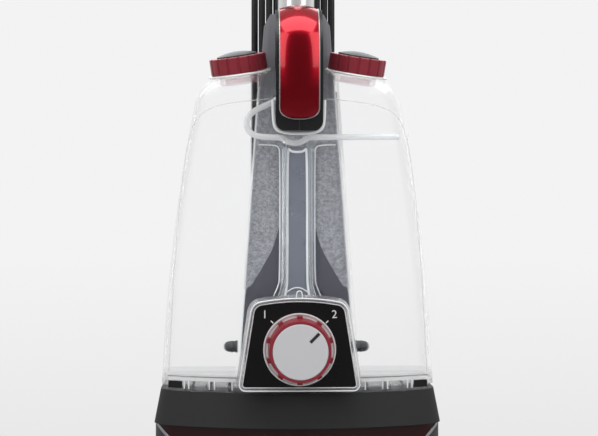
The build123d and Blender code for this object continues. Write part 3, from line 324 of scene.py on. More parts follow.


# The tank's sideways walls get the darker tint, a painted shade along its sides.
tank_clear = clear_plastic("tank_clear", (0.985, 0.987, 0.986), see_through=0.70, ior=1.05, rough=0.01,
                           gloss=0.7, side_shade_share=0.80)
# The skirt's grey tint is a painted reflection of the dark seat under the tank.
skirt_seat_reflection = clear_plastic("skirt_seat_reflection", (0.84, 0.85, 0.86), see_through=0.52, ior=1.06, rough=0.04,
                            milk=0.12, gloss=0.8)
skirt_top = 0.3180
tank = skin_of("clean_tank", "clean_tank", tank_clear, split_z=skirt_top,
               low_paint=skirt_seat_reflection)


# Ribs in front of the spine: two pairs of clear rods moulded on the tank's middle wall, each with a
# fine line between. They flare out above the dial, turn aside into a ledge under the handle, and are
# painted near-white and milky: a painted highlight for the light the clear rods catch.
def new_piece(name, mesh, body, slot, *paints):
    for paint in paints:
        mesh.materials.append(paint)
    piece = bpy.data.objects.new(name, mesh)
    scene.collection.objects.link(piece)
    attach(piece, body)
    return piece


def tank_rods(name, runs, radius, paint, slot="clear_plastic", closed=False):
    holder = round_wire(name, runs, radius, roundness=3, steps=8, closed=closed)
    holder.data.use_fill_caps = True
    mesh = plain_mesh(holder)
    bpy.data.objects.remove(holder)
    mesh.name = name
    mesh.shade_smooth()
    return new_piece(name, mesh, "clean_tank", slot, paint)


# Near-white and milky: a painted highlight for the light that clear rods and edges catch.
bead_painted_highlight = clear_plastic("bead_painted_highlight", (0.97, 0.98, 0.99), see_through=0.04, ior=1.4, rough=0.06,
                           milk=0.94, gloss=1.0)
middle_wall_y = 0.0580
rib_outer = 0.0177
rib_inner = 0.0100
rib_middle = 0.0148
rib_top = 0.5440
rib_bend = 0.4120
rib_flare = 0.4020
rib_foot = 0.3925
ledge_z = 0.5462
outer_side = [(0.0390, ledge_z), (0.0240, ledge_z - 0.0002), (rib_outer + 0.0012, rib_top),
              (rib_outer, 0.5380), (rib_outer, rib_bend), (rib_outer + 0.0018, rib_flare),
              (rib_outer + 0.0065, rib_foot)]
middle_side = [(rib_middle, 0.5420), (rib_middle, rib_bend), (rib_middle + 0.0012, rib_flare),
               (rib_middle + 0.0045, rib_foot)]
inner_side = [(0, 0.5388), (0.0030, 0.5388), (0.0072, 0.5400), (rib_inner, rib_top), (rib_inner, rib_bend),
              (rib_inner + 0.0006, rib_flare), (rib_inner + 0.0022, rib_foot)]
window_side = [(0.0115, 0.3960), (0.0070, 0.4000), (0, 0.4018)]
window = [(-x, z) for x, z in window_side] + window_side[-2::-1]


def on_middle_wall(side):
    return [[(s * x, middle_wall_y, z) for x, z in side] for s in (-1, 1)]


window_run = [(x, middle_wall_y, z) for x, z in window]
tank_rods("outer_ribs", on_middle_wall(outer_side) + [window_run], radius=0.0007, paint=bead_painted_highlight)
tank_rods("middle_ribs", on_middle_wall(middle_side), radius=0.0004, paint=bead_painted_highlight)
tank_rods("inner_ribs", on_middle_wall(inner_side), radius=0.0013, paint=bead_painted_highlight)


# Bands between the ribs: parts of the same wall, tinted grey-blue between each pair of ribs and darker
# and bluer in the middle. Each is a thin film on the wall.
def add_block(shape, place, size):
    bmesh.ops.create_cube(shape, size=1, matrix=place @ Matrix.Diagonal((*size, 1)))


def mesh_of(name, shape):
    mesh = bpy.data.meshes.new(name)
    shape.to_mesh(mesh)
    shape.free()
    return mesh


band_low = 0.3935
wall_haze = clear_plastic("wall_haze", (0.58, 0.63, 0.70), see_through=0.50, ior=1.05, rough=0.3, milk=0.9)
floor_haze = clear_plastic("floor_haze", (0.36, 0.39, 0.47), see_through=0.55, ior=1.05, rough=0.3, milk=0.9)
haze_bands = [(-rib_outer, -rib_inner, wall_haze), (rib_inner, rib_outer, wall_haze),
              (-rib_inner, rib_inner, floor_haze)]
haze_thick = 0.0004
haze_margin = 0.0004
for number, (x0, x1, paint) in enumerate(haze_bands):
    film = bmesh.new()
    middle = Matrix.Translation(((x0 + x1) / 2, middle_wall_y + haze_thick, (rib_top + band_low) / 2))
    add_block(film, middle, (x1 - x0 - 2 * haze_margin, haze_thick, rib_top - band_low))
    film_name = "rib_film_" + str(number)
    new_piece(film_name, mesh_of(film_name, film), "clean_tank", "clear_plastic", paint)

# Thick edges of the tank moulding: a U round the handle pocket, a line round the front face and two
# corners beside the spine. The U and the corners are painted near-white, a painted highlight; the face
# line is painted grey, painted shade along the rounded rim. The front face leans back a little and bows to
# the sides.
tank_nose = -0.002
tank_lean = 0.03
tank_lean_foot = 0.267
tank_bow = 0.284


def tank_face_y(x, z):
    return tank_nose + tank_lean * (z - tank_lean_foot) + x * x / (2 * tank_bow)


rim_half = 0.0250
rim_low = 0.5548
rim_high = 0.5875
rim_side = [(0, rim_low), (0.0120, rim_low + 0.0004), (0.0215, rim_low + 0.0028),
            (rim_half, rim_low + 0.0110), (rim_half, rim_high)]
rim = [(-x, z) for x, z in reversed(rim_side[1:])] + rim_side
tank_rods("pocket_rim", [[(x, tank_face_y(x, z), z) for x, z in rim]], radius=0.0019, paint=bead_painted_highlight)
face_edge = [(0.0280, 0.5885), (0.052, 0.5868), (0.080, 0.583), (0.097, 0.575), (0.1060, 0.560),
             (0.1125, 0.530), (0.1200, 0.460), (0.1252, 0.380), (0.1280, 0.320)]
# The face line's grey is painted shade along the rounded rim.
rim_painted_shade = clear_plastic("edge_line_painted_shade", (0.80, 0.82, 0.84), see_through=0.58, ior=1.1, rough=0.05, milk=0.60)
corner_half = 0.0607
corner_foot = 0.302
corner_taper = 0.0711
corner_y = 0.0585
corner_levels = (0.40, 0.45, 0.50, 0.55, 0.60)
face_edges = []
spine_edges = []
for s in (-1, 1):
    face_edges.append([(s * x, tank_face_y(x, z), z) for x, z in face_edge])
    spine_edges.append([(s * (corner_half - (z - corner_foot) * corner_taper), corner_y, z)
                        for z in corner_levels])
tank_rods("face_edge", face_edges, radius=0.0006, paint=rim_painted_shade)
tank_rods("spine_edge", spine_edges, radius=0.0010, paint=bead_painted_highlight)

# Foot of the tank: a pale band under the floor line, painted highlight; ribs below it, the pale ones painted
# highlight and the dark ones painted shade; a dark line of painted shade along the floor; and a black sheet
# of painted shade in the slot at each end where the tank hooks over the seat. Ribs and slots are moulded in
# one with the shell.
foot_probe_z = 0.3095
foot_proud = 0.0003
foot_line_z = 0.3160
foot_near = 0.061
foot_far = 0.129
slot_near = 0.1145
slot_far = 0.1285
slot_low = 0.3045
slot_high = 0.3112
band_top = 0.3150
band_foot = 0.3118
rib_low_z = 0.3040
rib_mid_z = 0.3070
shade_top = 0.3090


def tank_front(x):
    return tank.ray_cast((x, -1, foot_probe_z), (0, 1, 0))[1].y


def foot_strip(name, near, far, low, high, slot, paint):
    strip = bmesh.new()
    count = 16
    section = ((-foot_proud, low), (-foot_proud, high), (foot_proud, high), (foot_proud, low))
    for side in (-1, 1):
        grid = []
        for k in range(count + 1):
            x = side * (near + (far - near) * k / count)
            y = tank_front(x)
            grid.append([strip.verts.new((x, y + dy, z)) for dy, z in section])
        for left, right in zip(grid, grid[1:]):
            for k in range(4):
                strip.faces.new((left[k], right[k], right[(k + 1) % 4], left[(k + 1) % 4]))
        strip.faces.new(grid[0])
        strip.faces.new(grid[-1])
    bmesh.ops.recalc_face_normals(strip, faces=strip.faces)
    new_piece(name, mesh_of(name, strip), "clean_tank", slot, paint)


bpy.context.view_layer.update()
# The pale band is a painted highlight under the floor line.
band_painted_highlight = clear_plastic("band_painted_highlight", (0.95, 0.95, 0.94), see_through=0.40, ior=1.2, rough=0.1, milk=0.85)
shade = moulding("edge_shade", (0.16, 0.17, 0.18), 0.4, edge=0.1)
# The black strips are painted shade in the slot openings.
slot_painted_shade = moulding("slot_painted_shade", (0.004, 0.004, 0.004), 0.6, edge=0.1)
foot_strip("foot_band", foot_near, foot_far, band_foot, band_top, "clear_plastic", band_painted_highlight)
foot_strip("foot_slot_shade", slot_near, slot_far, slot_low, slot_high, "black_plastic", slot_painted_shade)
foot_lines = []
pale_ribs = []
dark_ribs = []
for s in (-1, 1):
    foot_lines.append([(s * x, tank_front(s * x), foot_line_z)
                       for x in (foot_near, 0.080, 0.100, 0.118, foot_far)])
    for ribs, places, top in ((pale_ribs, (0.1125, 0.1080, 0.0875, 0.0825, 0.0650), band_foot),
                              (dark_ribs, (0.1102, 0.0905, 0.0850), shade_top)):
        for x in places:
            ribs.append([(s * x, tank_front(s * x), z) for z in (rib_low_z, rib_mid_z, top)])
tank_rods("foot_line", foot_lines, radius=0.0004, paint=shade, slot="dark_grey")
tank_rods("foot_ribs", pale_ribs, radius=0.0007, paint=bead_painted_highlight)
tank_rods("foot_rib_shade", dark_ribs, radius=0.0006, paint=shade, slot="dark_grey")

# Tube in the tank: soft extruded vinyl, milky clear, pushed over a spigot on the right wall. It runs
# across under the handle, dips in the middle and loops up on the left.
tube_clear = clear_plastic("milky_vinyl", (0.97, 0.985, 1.0), see_through=0.30, ior=1.38, rough=0.12,
                           milk=0.92)
tube_y = (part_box("inner_tube")[0][1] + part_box("inner_tube")[1][1]) / 2
tube_route = [(0.101, 0.553), (0.060, 0.5526), (0.030, 0.5523), (0.0140, 0.5523), (0.0085, 0.5514),
              (0.0035, 0.5476), (-0.0035, 0.5462), (-0.0105, 0.5478), (-0.0160, 0.5515), (-0.0230, 0.5523),
              (-0.0380, 0.5525), (-0.0475, 0.5560), (-0.0518, 0.5640), (-0.0500, 0.5725), (-0.0430, 0.5790),
              (-0.0330, 0.5835), (-0.0240, 0.5875), (-0.0160, 0.5940), (-0.008, 0.596)]
vinyl = tank_rods("vinyl_tube", [[(x, tube_y, z) for x, z in tube_route]], radius=0.0031, paint=tube_clear)
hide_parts("inner_tube")

# Valve and strainers at the tank floor: dark moulded plugs pressed into the shell. Each strainer is
# turned about its own axis, with two collars and a rounded nose.
charcoal = moulding("charcoal_moulding", (0.045, 0.046, 0.050), 0.42, depth=0.10)
skin_of("outlet_valve", "clean_tank", charcoal)
dark_strainer = moulding("dark_strainer", (0.085, 0.088, 0.096), 0.75, depth=0.10, edge=0.4)
strainer_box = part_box("outlet_filters")
strainer_y = (strainer_box[0][1] + strainer_box[1][1]) / 2
strainer_z = (strainer_box[0][2] + strainer_box[1][2]) / 2
strainer_end = strainer_box[1][0]
strainer_profile = [(0.0140, 0.0), (0.0140, 0.0062), (0.0118, 0.0062), (0.0114, 0.0056), (0.0092, 0.0056),
                    (0.0088, 0.0060), (0.0076, 0.0060), (0.0072, 0.0056), (0.0045, 0.0054), (0.0022, 0.0045),
                    (0.0008, 0.0030), (0.0001, 0.0012), (0.0, 0.0)]
around = 28
true_edge = math.radians(40)
strainer = bmesh.new()
for side in (-1, 1):
    hoops = []
    for back, radius in strainer_profile:
        x = side * (strainer_end - back)
        turns = [2 * math.pi * k / around for k in range(around)] if radius else [0.0]
        circle = [(x, strainer_y + radius * math.cos(t), strainer_z + radius * math.sin(t)) for t in turns]
        hoops.append([strainer.verts.new(place) for place in circle])
    for a, b in zip(hoops, hoops[1:]):
        for k in range(around):
            n = (k + 1) % around
            corners = [a[k % len(a)], a[n % len(a)], b[n % len(b)], b[k % len(b)]]
            strainer.faces.new(list(dict.fromkeys(corners)))
bmesh.ops.recalc_face_normals(strainer, faces=strainer.faces)
strainer_mesh = mesh_of("floor_strainers", strainer)
strainer_mesh.shade_smooth()
strainer_mesh.set_sharp_from_angle(angle=true_edge)
strainers = new_piece("floor_strainers", strainer_mesh, "clean_tank", "dark_grey", dark_strainer)
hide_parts("outlet_filters")

# Selector: a black plate in a clear bezel, a pale dish, and a valve behind it in natural nylon.
# The bezel is part of the tank moulding, with a small key on top; plate and dish are glued in.
black = moulding("black_moulding", (0.0125, 0.0125, 0.0135), 0.36, depth=0.05)
nylon = moulding("natural_nylon", (0.70, 0.70, 0.68), 0.42)
pale_grey = moulding("pale_grey_moulding", (0.78, 0.78, 0.78), 0.34, vary=0.04, depth=0.02)
bezel_clear = clear_plastic("bezel_clear", (0.95, 0.96, 0.97), see_through=0.30, ior=1.42, rough=0.05,
                            milk=0.14)
skin_of("dial_bezel", "clean_tank", bezel_clear)
plate_black = moulding("plate_gloss", (0.0055, 0.0050, 0.0050), 0.28, depth=0.01)
skin_of("dial_plate", "clean_tank", plate_black)
skin_of("dial_dish", "clean_tank", pale_grey)
skin_of("selector_valve", "clean_tank", nylon)
front_depth = 0.0003


def front_outline(node):
    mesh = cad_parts[node].data
    front = min(v.co.y for v in mesh.vertices)
    foremost = [v.co for v in mesh.vertices if v.co.y < front + front_depth]
    spots = sorted({(round(co.x, 5), round(co.z, 5)) for co in foremost})
    rim = []
    for way in (spots, spots[::-1]):
        chain = []
        for spot in way:
            while len(chain) > 1:
                (ax, az), (bx, bz) = chain[-2:]
                if (bx - ax) * (spot[1] - az) - (bz - az) * (spot[0] - ax) > 0:
                    break
                chain.pop()
            chain.append(spot)
        rim += chain[:-1]
    return [(x, front, z) for x, z in rim]


# The white rods round the bezel, the plate and the key are painted highlight on their front edges.
for name, node, radius in (("bezel_edge", "dial_bezel", 0.0007), ("plate_edge", "dial_plate", 0.0005)):
    tank_rods(name, [front_outline(node)], radius, bead_painted_highlight, closed=True)
key_place = Matrix.Translation((0, -0.0035, 0.3985))
key_size = (0.0060, 0.0080, 0.0060)
key_round = 0.0012
key = bmesh.new()
add_block(key, key_place, key_size)
bmesh.ops.bevel(key, geom=key.edges[:], offset=key_round, segments=3, affect="EDGES", profile=0.5)
key_mesh = mesh_of("bezel_key", key)
key_mesh.shade_smooth()
new_piece("bezel_key", key_mesh, "clean_tank", "clear_plastic", bezel_clear)
key_front = -0.0077
key_arch = [(-0.0030, 0.3950), (-0.0028, 0.3990), (-0.0014, 0.4014), (0.0014, 0.4014), (0.0028, 0.3990),
            (0.0030, 0.3950)]
tank_rods("key_edge", [[(x, key_front, z) for x, z in key_arch]], radius=0.0006, paint=bead_painted_highlight)

# Marks on the plate: plain numerals and ticks beside the two settings, pad-printed in pale grey ink.
# Numeral and tick stand on the diagonals from the dial's centre.
dial_z = 0.3455
print_thick = 0.0001
print_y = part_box("dial_plate")[0][1] - print_thick
numeral_size = 0.0110
numeral_offset = 0.0335
tick_radius = 0.0375
tick_size = (0.0011, 0.0002, 0.0034)
print_paint = moulding("pale_print", (0.72, 0.72, 0.72), 0.5, vary=0.03, depth=0.0, edge=0.05)
upright = Matrix.Rotation(math.radians(90), 4, "X")
for mark, side in (("1", -1), ("2", 1)):
    letter = bpy.data.curves.new("numeral_" + mark, "FONT")
    letter.body = mark
    letter.size = numeral_size
    letter.extrude = print_thick
    letter.align_x = "CENTER"
    letter.align_y = "CENTER"
    holder = bpy.data.objects.new("numeral_" + mark, letter)
    scene.collection.objects.link(holder)
    stamp = plain_mesh(holder)
    bpy.data.objects.remove(holder)
    stamp.transform(Matrix.Translation((side * numeral_offset, print_y, dial_z + numeral_offset)) @ upright)
    tick = bmesh.new()
    tick.from_mesh(stamp)
    spin = Matrix.Rotation(-side * math.radians(45), 4, "Y")
    spot = Matrix.Translation((0, print_y, dial_z)) @ spin @ Matrix.Translation((0, 0, tick_radius))
    add_block(tick, spot, tick_size)
    tick.to_mesh(stamp)
    tick.free()
    stamp.name = "numeral_" + mark
    new_piece("numeral_" + mark, stamp, "clean_tank", "silver_plastic", print_paint)

# Knob: a red moulded skirt with lugs for the fingers, capped by a satin grey face that is pressed in,
# with a pointer groove; a dark sheet sunk in the groove is painted shade.
red_satin = moulding("red_satin", (0.27, 0.020, 0.034), 0.36, vary=0.08, depth=0.03)
knob_grey = moulding("knob_grey", (0.58, 0.58, 0.59), 0.38, vary=0.04, depth=0.03)
skin_of("knob_ring", "dial", red_satin)
skin_of("knob_face", "dial", knob_grey)
# A dark sheet sunk in the pointer groove: painted shade.
groove_shade_paint = moulding("pointer_groove_shade", (0.028, 0.030, 0.034), 0.4, edge=0.1)
groove_shade_size = (0.0026, 0.0008, 0.0115)
groove_shade_radius = 0.019
groove_shade_sink = 0.0003
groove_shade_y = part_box("knob_face")[0][1] + groove_shade_sink
groove_shade_turn = Matrix.Rotation(math.radians(45), 4, "Y")
groove_shade_place = Matrix.Translation((0, groove_shade_y, dial_z)) @ groove_shade_turn @ Matrix.Translation((0, 0, groove_shade_radius))
groove_shade = bmesh.new()
add_block(groove_shade, groove_shade_place, groove_shade_size)
new_piece("knob_pointer", mesh_of("knob_pointer", groove_shade), "dial", "dark_grey", groove_shade_paint)

# Carry handle: a black arch screwed to the tank, with a red metallic skin over its front and crown.
# A silver line trims the skin, and a seam runs down the arch below it.
red_gloss = moulding("red_metallic", (0.42, 0.001, 0.012), 0.24, vary=0.08, depth=0.01, coat=0.6, metal=0.85)
skin_of("handle_frame", "clean_tank", black)


def smooth_through(points, steps):
    ends = [points[0]] + points + [points[-1]]
    line = []
    for i in range(1, len(ends) - 2):
        a, b, c, d = [Vector(v) for v in ends[i - 1:i + 3]]
        for k in range(steps):
            t = k / steps
            line.append(0.5 * (2 * b + (c - a) * t + (2 * a - 5 * b + 4 * c - d) * t * t
                               + (3 * b - a - 3 * c + d) * t ** 3))
    return line + [Vector(points[-1])]


arch_side = [(-0.0090, 0.5565), (-0.0160, 0.600), (-0.0130, 0.646), (0.0040, 0.670), (0.0240, 0.677),
             (0.0400, 0.669)]
panel_low = 0.567
panel_back = 0.030
panel_half = 0.0192
panel_foot = 0.0115
panel_tip = 0.00015
panel_round = 2.5
panel_edge = 0.0035
panel_rise = 0.0012
panel_crown = 0.0042
panel_thick = 0.0011
panel_across = 24
spine_line = [v for v in smooth_through(arch_side, steps=48) if v.y > panel_low and v.x < panel_back]
sheet = bmesh.new()
rows = []
walked = 0.0
for i, v in enumerate(spine_line):
    ahead = spine_line[min(i + 1, len(spine_line) - 1)] - spine_line[max(i - 1, 0)]
    out = Vector((-ahead.y, ahead.x)).normalized()
    if i:
        walked += (v - spine_line[i - 1]).length
    foot_share = max(0.0, 1 - max(walked, panel_tip) / panel_foot)
    half = panel_half * (1 - foot_share ** panel_round) ** (1 / panel_round)
    swell = panel_crown * (1 - max(0.0, 1 - walked / panel_edge) ** 2)
    row = []
    for k in range(panel_across + 1):
        u = 2 * k / panel_across - 1
        lift = panel_rise + swell * (1 - u * u)
        row.append(sheet.verts.new((u * half, v.x + out.x * lift, v.y + out.y * lift)))
    rows.append(row)
for low, high in zip(rows, rows[1:]):
    for k in range(panel_across):
        sheet.faces.new((low[k], low[k + 1], high[k + 1], high[k]))
edge_run = [row[0].co.copy() for row in reversed(rows)] + [v.co.copy() for v in rows[0][1:-1]]
edge_run += [row[-1].co.copy() for row in rows]
bmesh.ops.recalc_face_normals(sheet, faces=sheet.faces)
bmesh.ops.solidify(sheet, geom=sheet.faces[:], thickness=panel_thick)
# The thickened sheet comes in no fixed order, so it is sorted to be the same mesh in every run.
order = Vector((1.0, 2.7, 7.3))
sheet.verts.sort(key=lambda v: v.co.dot(order))
sheet.faces.sort(key=lambda f: f.calc_center_median().dot(order))
panel_mesh = mesh_of("red_skin", sheet)
panel_mesh.shade_smooth()
panel_mesh.set_sharp_from_angle(angle=true_edge)
panel = new_piece("red_skin", panel_mesh, "clean_tank", "red_gloss", red_gloss)
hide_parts("handle_panel")
silver = moulding("silver_satin", (0.55, 0.55, 0.56), 0.28, vary=0.05, depth=0.02, metal=0.7)
tank_rods("red_skin_trim", [edge_run], radius=0.0006, paint=silver, slot="silver_plastic")
seam_run = [(0, v.x, v.y) for v in smooth_through(arch_side, steps=16) if v.y < panel_low]
tank_rods("frame_seam", [seam_run], radius=0.00035, paint=charcoal, slot="dark_grey")

# Fill caps: red fluted rings that screw down a dark domed disc over each neck. The thick edge of the
# neck's flange, painted cream-white as a painted highlight, and a pink ring in the neck, a painted reflection
# of the red cap ring seen through the clear neck, belong to the tank and stay when a cap is unscrewed.
# The flange edge is real; its cream-white colour is a painted highlight.
flange_highlight = clear_plastic("flange_edge_highlight", (0.97, 0.96, 0.93), see_through=0.10, ior=1.3, rough=0.05,
                             milk=0.85, gloss=1.0)
flange_reach = 0.0023
flange_half = 0.0011
flange_gap = 0.0002
# The pink ring is a painted reflection of the red cap ring seen through the clear neck.
neck_pink_reflection = clear_plastic("neck_pink_reflection", (0.86, 0.50, 0.56), see_through=0.80, ior=1.05, rough=0.2, milk=0.9)
pink_reflection_drop = 0.0078
pink_reflection_radius = 0.0180
pink_reflection_half = 0.0034
neck_lean = (0.1445, -0.1529, 0.9776)
hoop_points = 40


def hoop_run(centre, axis, radius):
    level_x = axis.orthogonal().normalized()
    level_y = axis.cross(level_x)
    turns = [2 * math.pi * k / hoop_points for k in range(hoop_points)]
    return [tuple(centre + (level_x * math.cos(t) + level_y * math.sin(t)) * radius) for t in turns]


for side, s in (("left", -1), ("right", 1)):
    ring = "cap_ring_" + side
    skin_of(ring, ring, red_satin)
    skin_of("cap_disc_" + side, "cap_disc_" + side, charcoal)
    axis = Vector((s * neck_lean[0], neck_lean[1], neck_lean[2])).normalized()
    middle = sum((Vector(c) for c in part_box(ring)), Vector()) / 2
    offsets = [v.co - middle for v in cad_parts[ring].data.vertices]
    foot = min(v.dot(axis) for v in offsets)
    reach = max((v - axis * v.dot(axis)).length for v in offsets) + flange_reach
    edge = hoop_run(middle + axis * (foot - flange_half - flange_gap), axis, reach)
    tank_rods("flange_" + side, [edge], flange_half, flange_highlight, closed=True)
    loop = hoop_run(middle + axis * (foot - pink_reflection_drop), axis, pink_reflection_radius)
    tank_rods("neck_pink_reflection_" + side, [loop], pink_reflection_half, neck_pink_reflection, closed=True)

# Seat and lower housing of the upright: the black seat that the tank stands on, over a charcoal
# housing. Both are moulded in halves and screwed together.
seat_black = moulding("seat_satin", (0.0200, 0.0200, 0.0210), 0.66, depth=0.05)
skin_of("tank_seat", "upright", seat_black)
housing = skin_of("lower_housing", "upright", charcoal)

# Front panel and side trims: a glossy red panel between two silver strips, all moulded and clipped to
# the front of the housing. The panel's red is painted very dark: painted shade where it faces down under the
# seat.
# Red darkened almost to black: painted shade under the seat's overhang.
shaded_red = moulding("shaded_red_gloss", (0.030, 0.001, 0.002), 0.30, depth=0.02, coat=0.3)
skin_of("front_panel", "upright", shaded_red)
skin_of("side_trim", "upright", silver)


# Spine: a grey column in two shells round the handle tube, its face grained between the boot and
# the tank top, smooth above. The dark boot is a thin cover over its lower front.
def grained(name, low, high, fine, grain_end, grain_full):
    mat = moulding(name, low, 0.50, depth=0.12, grain=3.0)
    tree = mat.node_tree
    tint = next(n for n in tree.nodes if n.bl_idname == "ShaderNodeMix")
    spot = next(n for n in tree.nodes if n.bl_idname == "ShaderNodeTexCoord")
    tint.inputs["A"].default_value = (*low, 1)
    tint.inputs["B"].default_value = (*high, 1)
    fleck = add_node(tree, "ShaderNodeTexNoise", {"Scale": fine * 0.5, "Detail": 5, "Roughness": 0.7})
    harden = add_node(tree, "ShaderNodeMapRange", {"From Min": 0.30, "From Max": 0.68, "To Min": 0.12})
    pits = add_node(tree, "ShaderNodeTexVoronoi", {"Scale": fine})
    pit_shape = add_node(tree, "ShaderNodeMapRange", {"From Min": 0.22, "From Max": 0.55})
    pit_depth = add_node(tree, "ShaderNodeSeparateXYZ")
    pit_mixed = add_node(tree, "ShaderNodeMath", operation="MAXIMUM")
    pitted = add_node(tree, "ShaderNodeMath", operation="MULTIPLY")
    height = add_node(tree, "ShaderNodeSeparateXYZ")
    fade = add_node(tree, "ShaderNodeMapRange", {"From Min": grain_end, "From Max": grain_full})
    both = add_node(tree, "ShaderNodeMath", operation="MULTIPLY")
    join(tree, spot, "Object", fleck, "Vector")
    join(tree, spot, "Object", height, 0)
    join(tree, spot, "Object", pits, "Vector")
    join(tree, fleck, "Fac", harden, "Value")
    join(tree, pits, "Distance", pit_shape, "Value")
    join(tree, pits, "Color", pit_depth, 0)
    join(tree, pit_shape, "Result", pit_mixed, 0)
    join(tree, pit_depth, "X", pit_mixed, 1)
    join(tree, harden, "Result", pitted, 0)
    join(tree, pit_mixed, 0, pitted, 1)
    join(tree, height, "Z", fade, "Value")
    join(tree, pitted, 0, both, 0)
    join(tree, fade, "Result", both, 1)
    join(tree, both, 0, tint, "Factor")
    return mat


spine_paint = grained("spine_grain", (0.186, 0.187, 0.204), (0.46, 0.48, 0.53), fine=460,
                      grain_end=0.625, grain_full=0.575)
skin_of("spine_front", "upright", spine_paint, crease=14)
spine_rear = skin_of("spine_back", "upright", charcoal)

boot_paint = moulding("boot_navy", (0.079, 0.078, 0.106), 0.42)
boot_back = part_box("spine_front")[0][1]
boot_thick = 0.0008
boot_side = [(0.0590, 0.306), (0.0525, 0.392), (0.0460, 0.404), (0.0340, 0.424), (0.0250, 0.441),
             (0.0190, 0.460), (0.0160, 0.470), (0.0142, 0.462), (0.0130, 0.420), (0.0110, 0.398),
             (0.0, 0.393)]
flank = [(v.x, v.y) for v in smooth_through(boot_side, steps=5)]
outline = flank + [(-x, z) for x, z in reversed(flank[:-1])]
plate = bmesh.new()
front_ring = [plate.verts.new((x, boot_back - boot_thick, z)) for x, z in outline]
plate.faces.new(front_ring)
back_ring = [plate.verts.new((x, boot_back, z)) for x, z in outline]
plate.faces.new(list(reversed(back_ring)))
for k in range(len(outline)):
    n = (k + 1) % len(outline)
    plate.faces.new((front_ring[n], front_ring[k], back_ring[k], back_ring[n]))
bmesh.ops.recalc_face_normals(plate, faces=plate.faces)
new_piece("spine_boot", mesh_of("spine_boot", plate), "upright", "grey_plastic", boot_paint)

# Handle tube: a drawn steel tube, chromed and polished.
# It is pinned in the spine at its foot and in the grip at its top.
# The chrome is only partly metal; its near-white diffuse share is a painted reflection of the white studio.
chrome_painted_white = moulding("chrome_with_painted_white", (0.96, 0.96, 0.95), 0.26, vary=0.02, depth=0.0, metal=0.62)
skin_of("handle_tube", "upright", chrome_painted_white)

# Grip loop: two black moulded shells screwed together round the tube. They hold the red trigger and
# switch, and the hook for the cord turns on their back.
skin_of("handle_left", "upright", black)
grip_right = skin_of("handle_right", "upright", black)
skin_of("trigger", "trigger", red_satin)
skin_of("power_switch", "switch", red_satin)
skin_of("cord_hook", "hook", black)


# Screws: zinc pan heads with a pressed cross, holding the grip halves, the spine, the lower housing
# and the hood. Each stands on the surface that a ray finds, square to it.
def new_tree(name, sizes):
    tree = bpy.data.node_groups.new(name, "GeometryNodeTree")
    tree.interface.new_socket("Points", in_out="INPUT", socket_type="NodeSocketGeometry")
    for label, value in sizes.items():
        kind = "NodeSocketInt" if isinstance(value, int) else "NodeSocketFloat"
        tree.interface.new_socket(label, in_out="INPUT", socket_type=kind)
    tree.interface.new_socket("Pieces", in_out="OUTPUT", socket_type="NodeSocketGeometry")
    return tree, add_node(tree, "NodeGroupInput")


def close_tree(tree, placed, paint):
    whole = add_node(tree, "GeometryNodeRealizeInstances")
    coat = add_node(tree, "GeometryNodeSetMaterial", {"Material": paint})
    outlet = add_node(tree, "NodeGroupOutput")
    join(tree, placed, "Instances", whole, "Geometry")
    join(tree, whole, "Geometry", coat, "Geometry")
    join(tree, coat, "Geometry", outlet, "Pieces")


def grow(name, tree, sizes, points, facings=()):
    seeds = bpy.data.meshes.new(name + "_points")
    seeds.from_pydata(points, [], [])
    if facings:
        facing = seeds.attributes.new("facing", "FLOAT_VECTOR", "POINT")
        for spot, way in zip(facing.data, facings):
            spot.vector = way
    holder = bpy.data.objects.new(name, seeds)
    scene.collection.objects.link(holder)
    maker = holder.modifiers.new(name, "NODES")
    maker.node_group = tree
    for socket in tree.interface.items_tree:
        if socket.name in sizes:
            maker[socket.identifier] = sizes[socket.name]
    mesh = plain_mesh(holder)
    bpy.data.objects.remove(holder)
    mesh.name = name
    return mesh


steel = moulding("zinc_plate", (0.55, 0.56, 0.58), 0.34, depth=0.03, metal=1.0, edge=0.2)
screw_sizes = {"Head Radius": 0.0034, "Crown Radius": 0.0025, "Head Height": 0.0013, "Cross Length": 0.0036,
               "Cross Width": 0.0009, "Cross Depth": 0.0014}
screw_tree, screw_in = new_tree("screw_heads", screw_sizes)
head = add_node(screw_tree, "GeometryNodeMeshCone", {"Vertices": 24})
join(screw_tree, screw_in, "Head Radius", head, "Radius Bottom")
join(screw_tree, screw_in, "Crown Radius", head, "Radius Top")
join(screw_tree, screw_in, "Head Height", head, "Depth")
crossed = add_node(screw_tree, "GeometryNodeMeshBoolean", operation="DIFFERENCE")
join(screw_tree, head, "Mesh", crossed, "Mesh 1")
lift = add_node(screw_tree, "ShaderNodeCombineXYZ")
join(screw_tree, screw_in, "Head Height", lift, "Z")
for along, across in (("X", "Y"), ("Y", "X")):
    bar_size = add_node(screw_tree, "ShaderNodeCombineXYZ")
    bar = add_node(screw_tree, "GeometryNodeMeshCube")
    raised = add_node(screw_tree, "GeometryNodeTransform")
    join(screw_tree, screw_in, "Cross Length", bar_size, along)
    join(screw_tree, screw_in, "Cross Width", bar_size, across)
    join(screw_tree, screw_in, "Cross Depth", bar_size, "Z")
    join(screw_tree, bar_size, 0, bar, "Size")
    join(screw_tree, bar, "Mesh", raised, "Geometry")
    join(screw_tree, lift, 0, raised, "Translation")
    join(screw_tree, raised, "Geometry", crossed, "Mesh 2")
screw_way = add_node(screw_tree, "GeometryNodeInputNamedAttribute", {"Name": "facing"},
                     data_type="FLOAT_VECTOR")
square_up = add_node(screw_tree, "FunctionNodeAlignRotationToVector", axis="Z")
driven = add_node(screw_tree, "GeometryNodeInstanceOnPoints")
join(screw_tree, screw_way, "Attribute", square_up, "Vector")
join(screw_tree, screw_in, "Points", driven, "Points")
join(screw_tree, crossed, "Mesh", driven, "Instance")
join(screw_tree, square_up, "Rotation", driven, "Rotation")
close_tree(screw_tree, driven, steel)


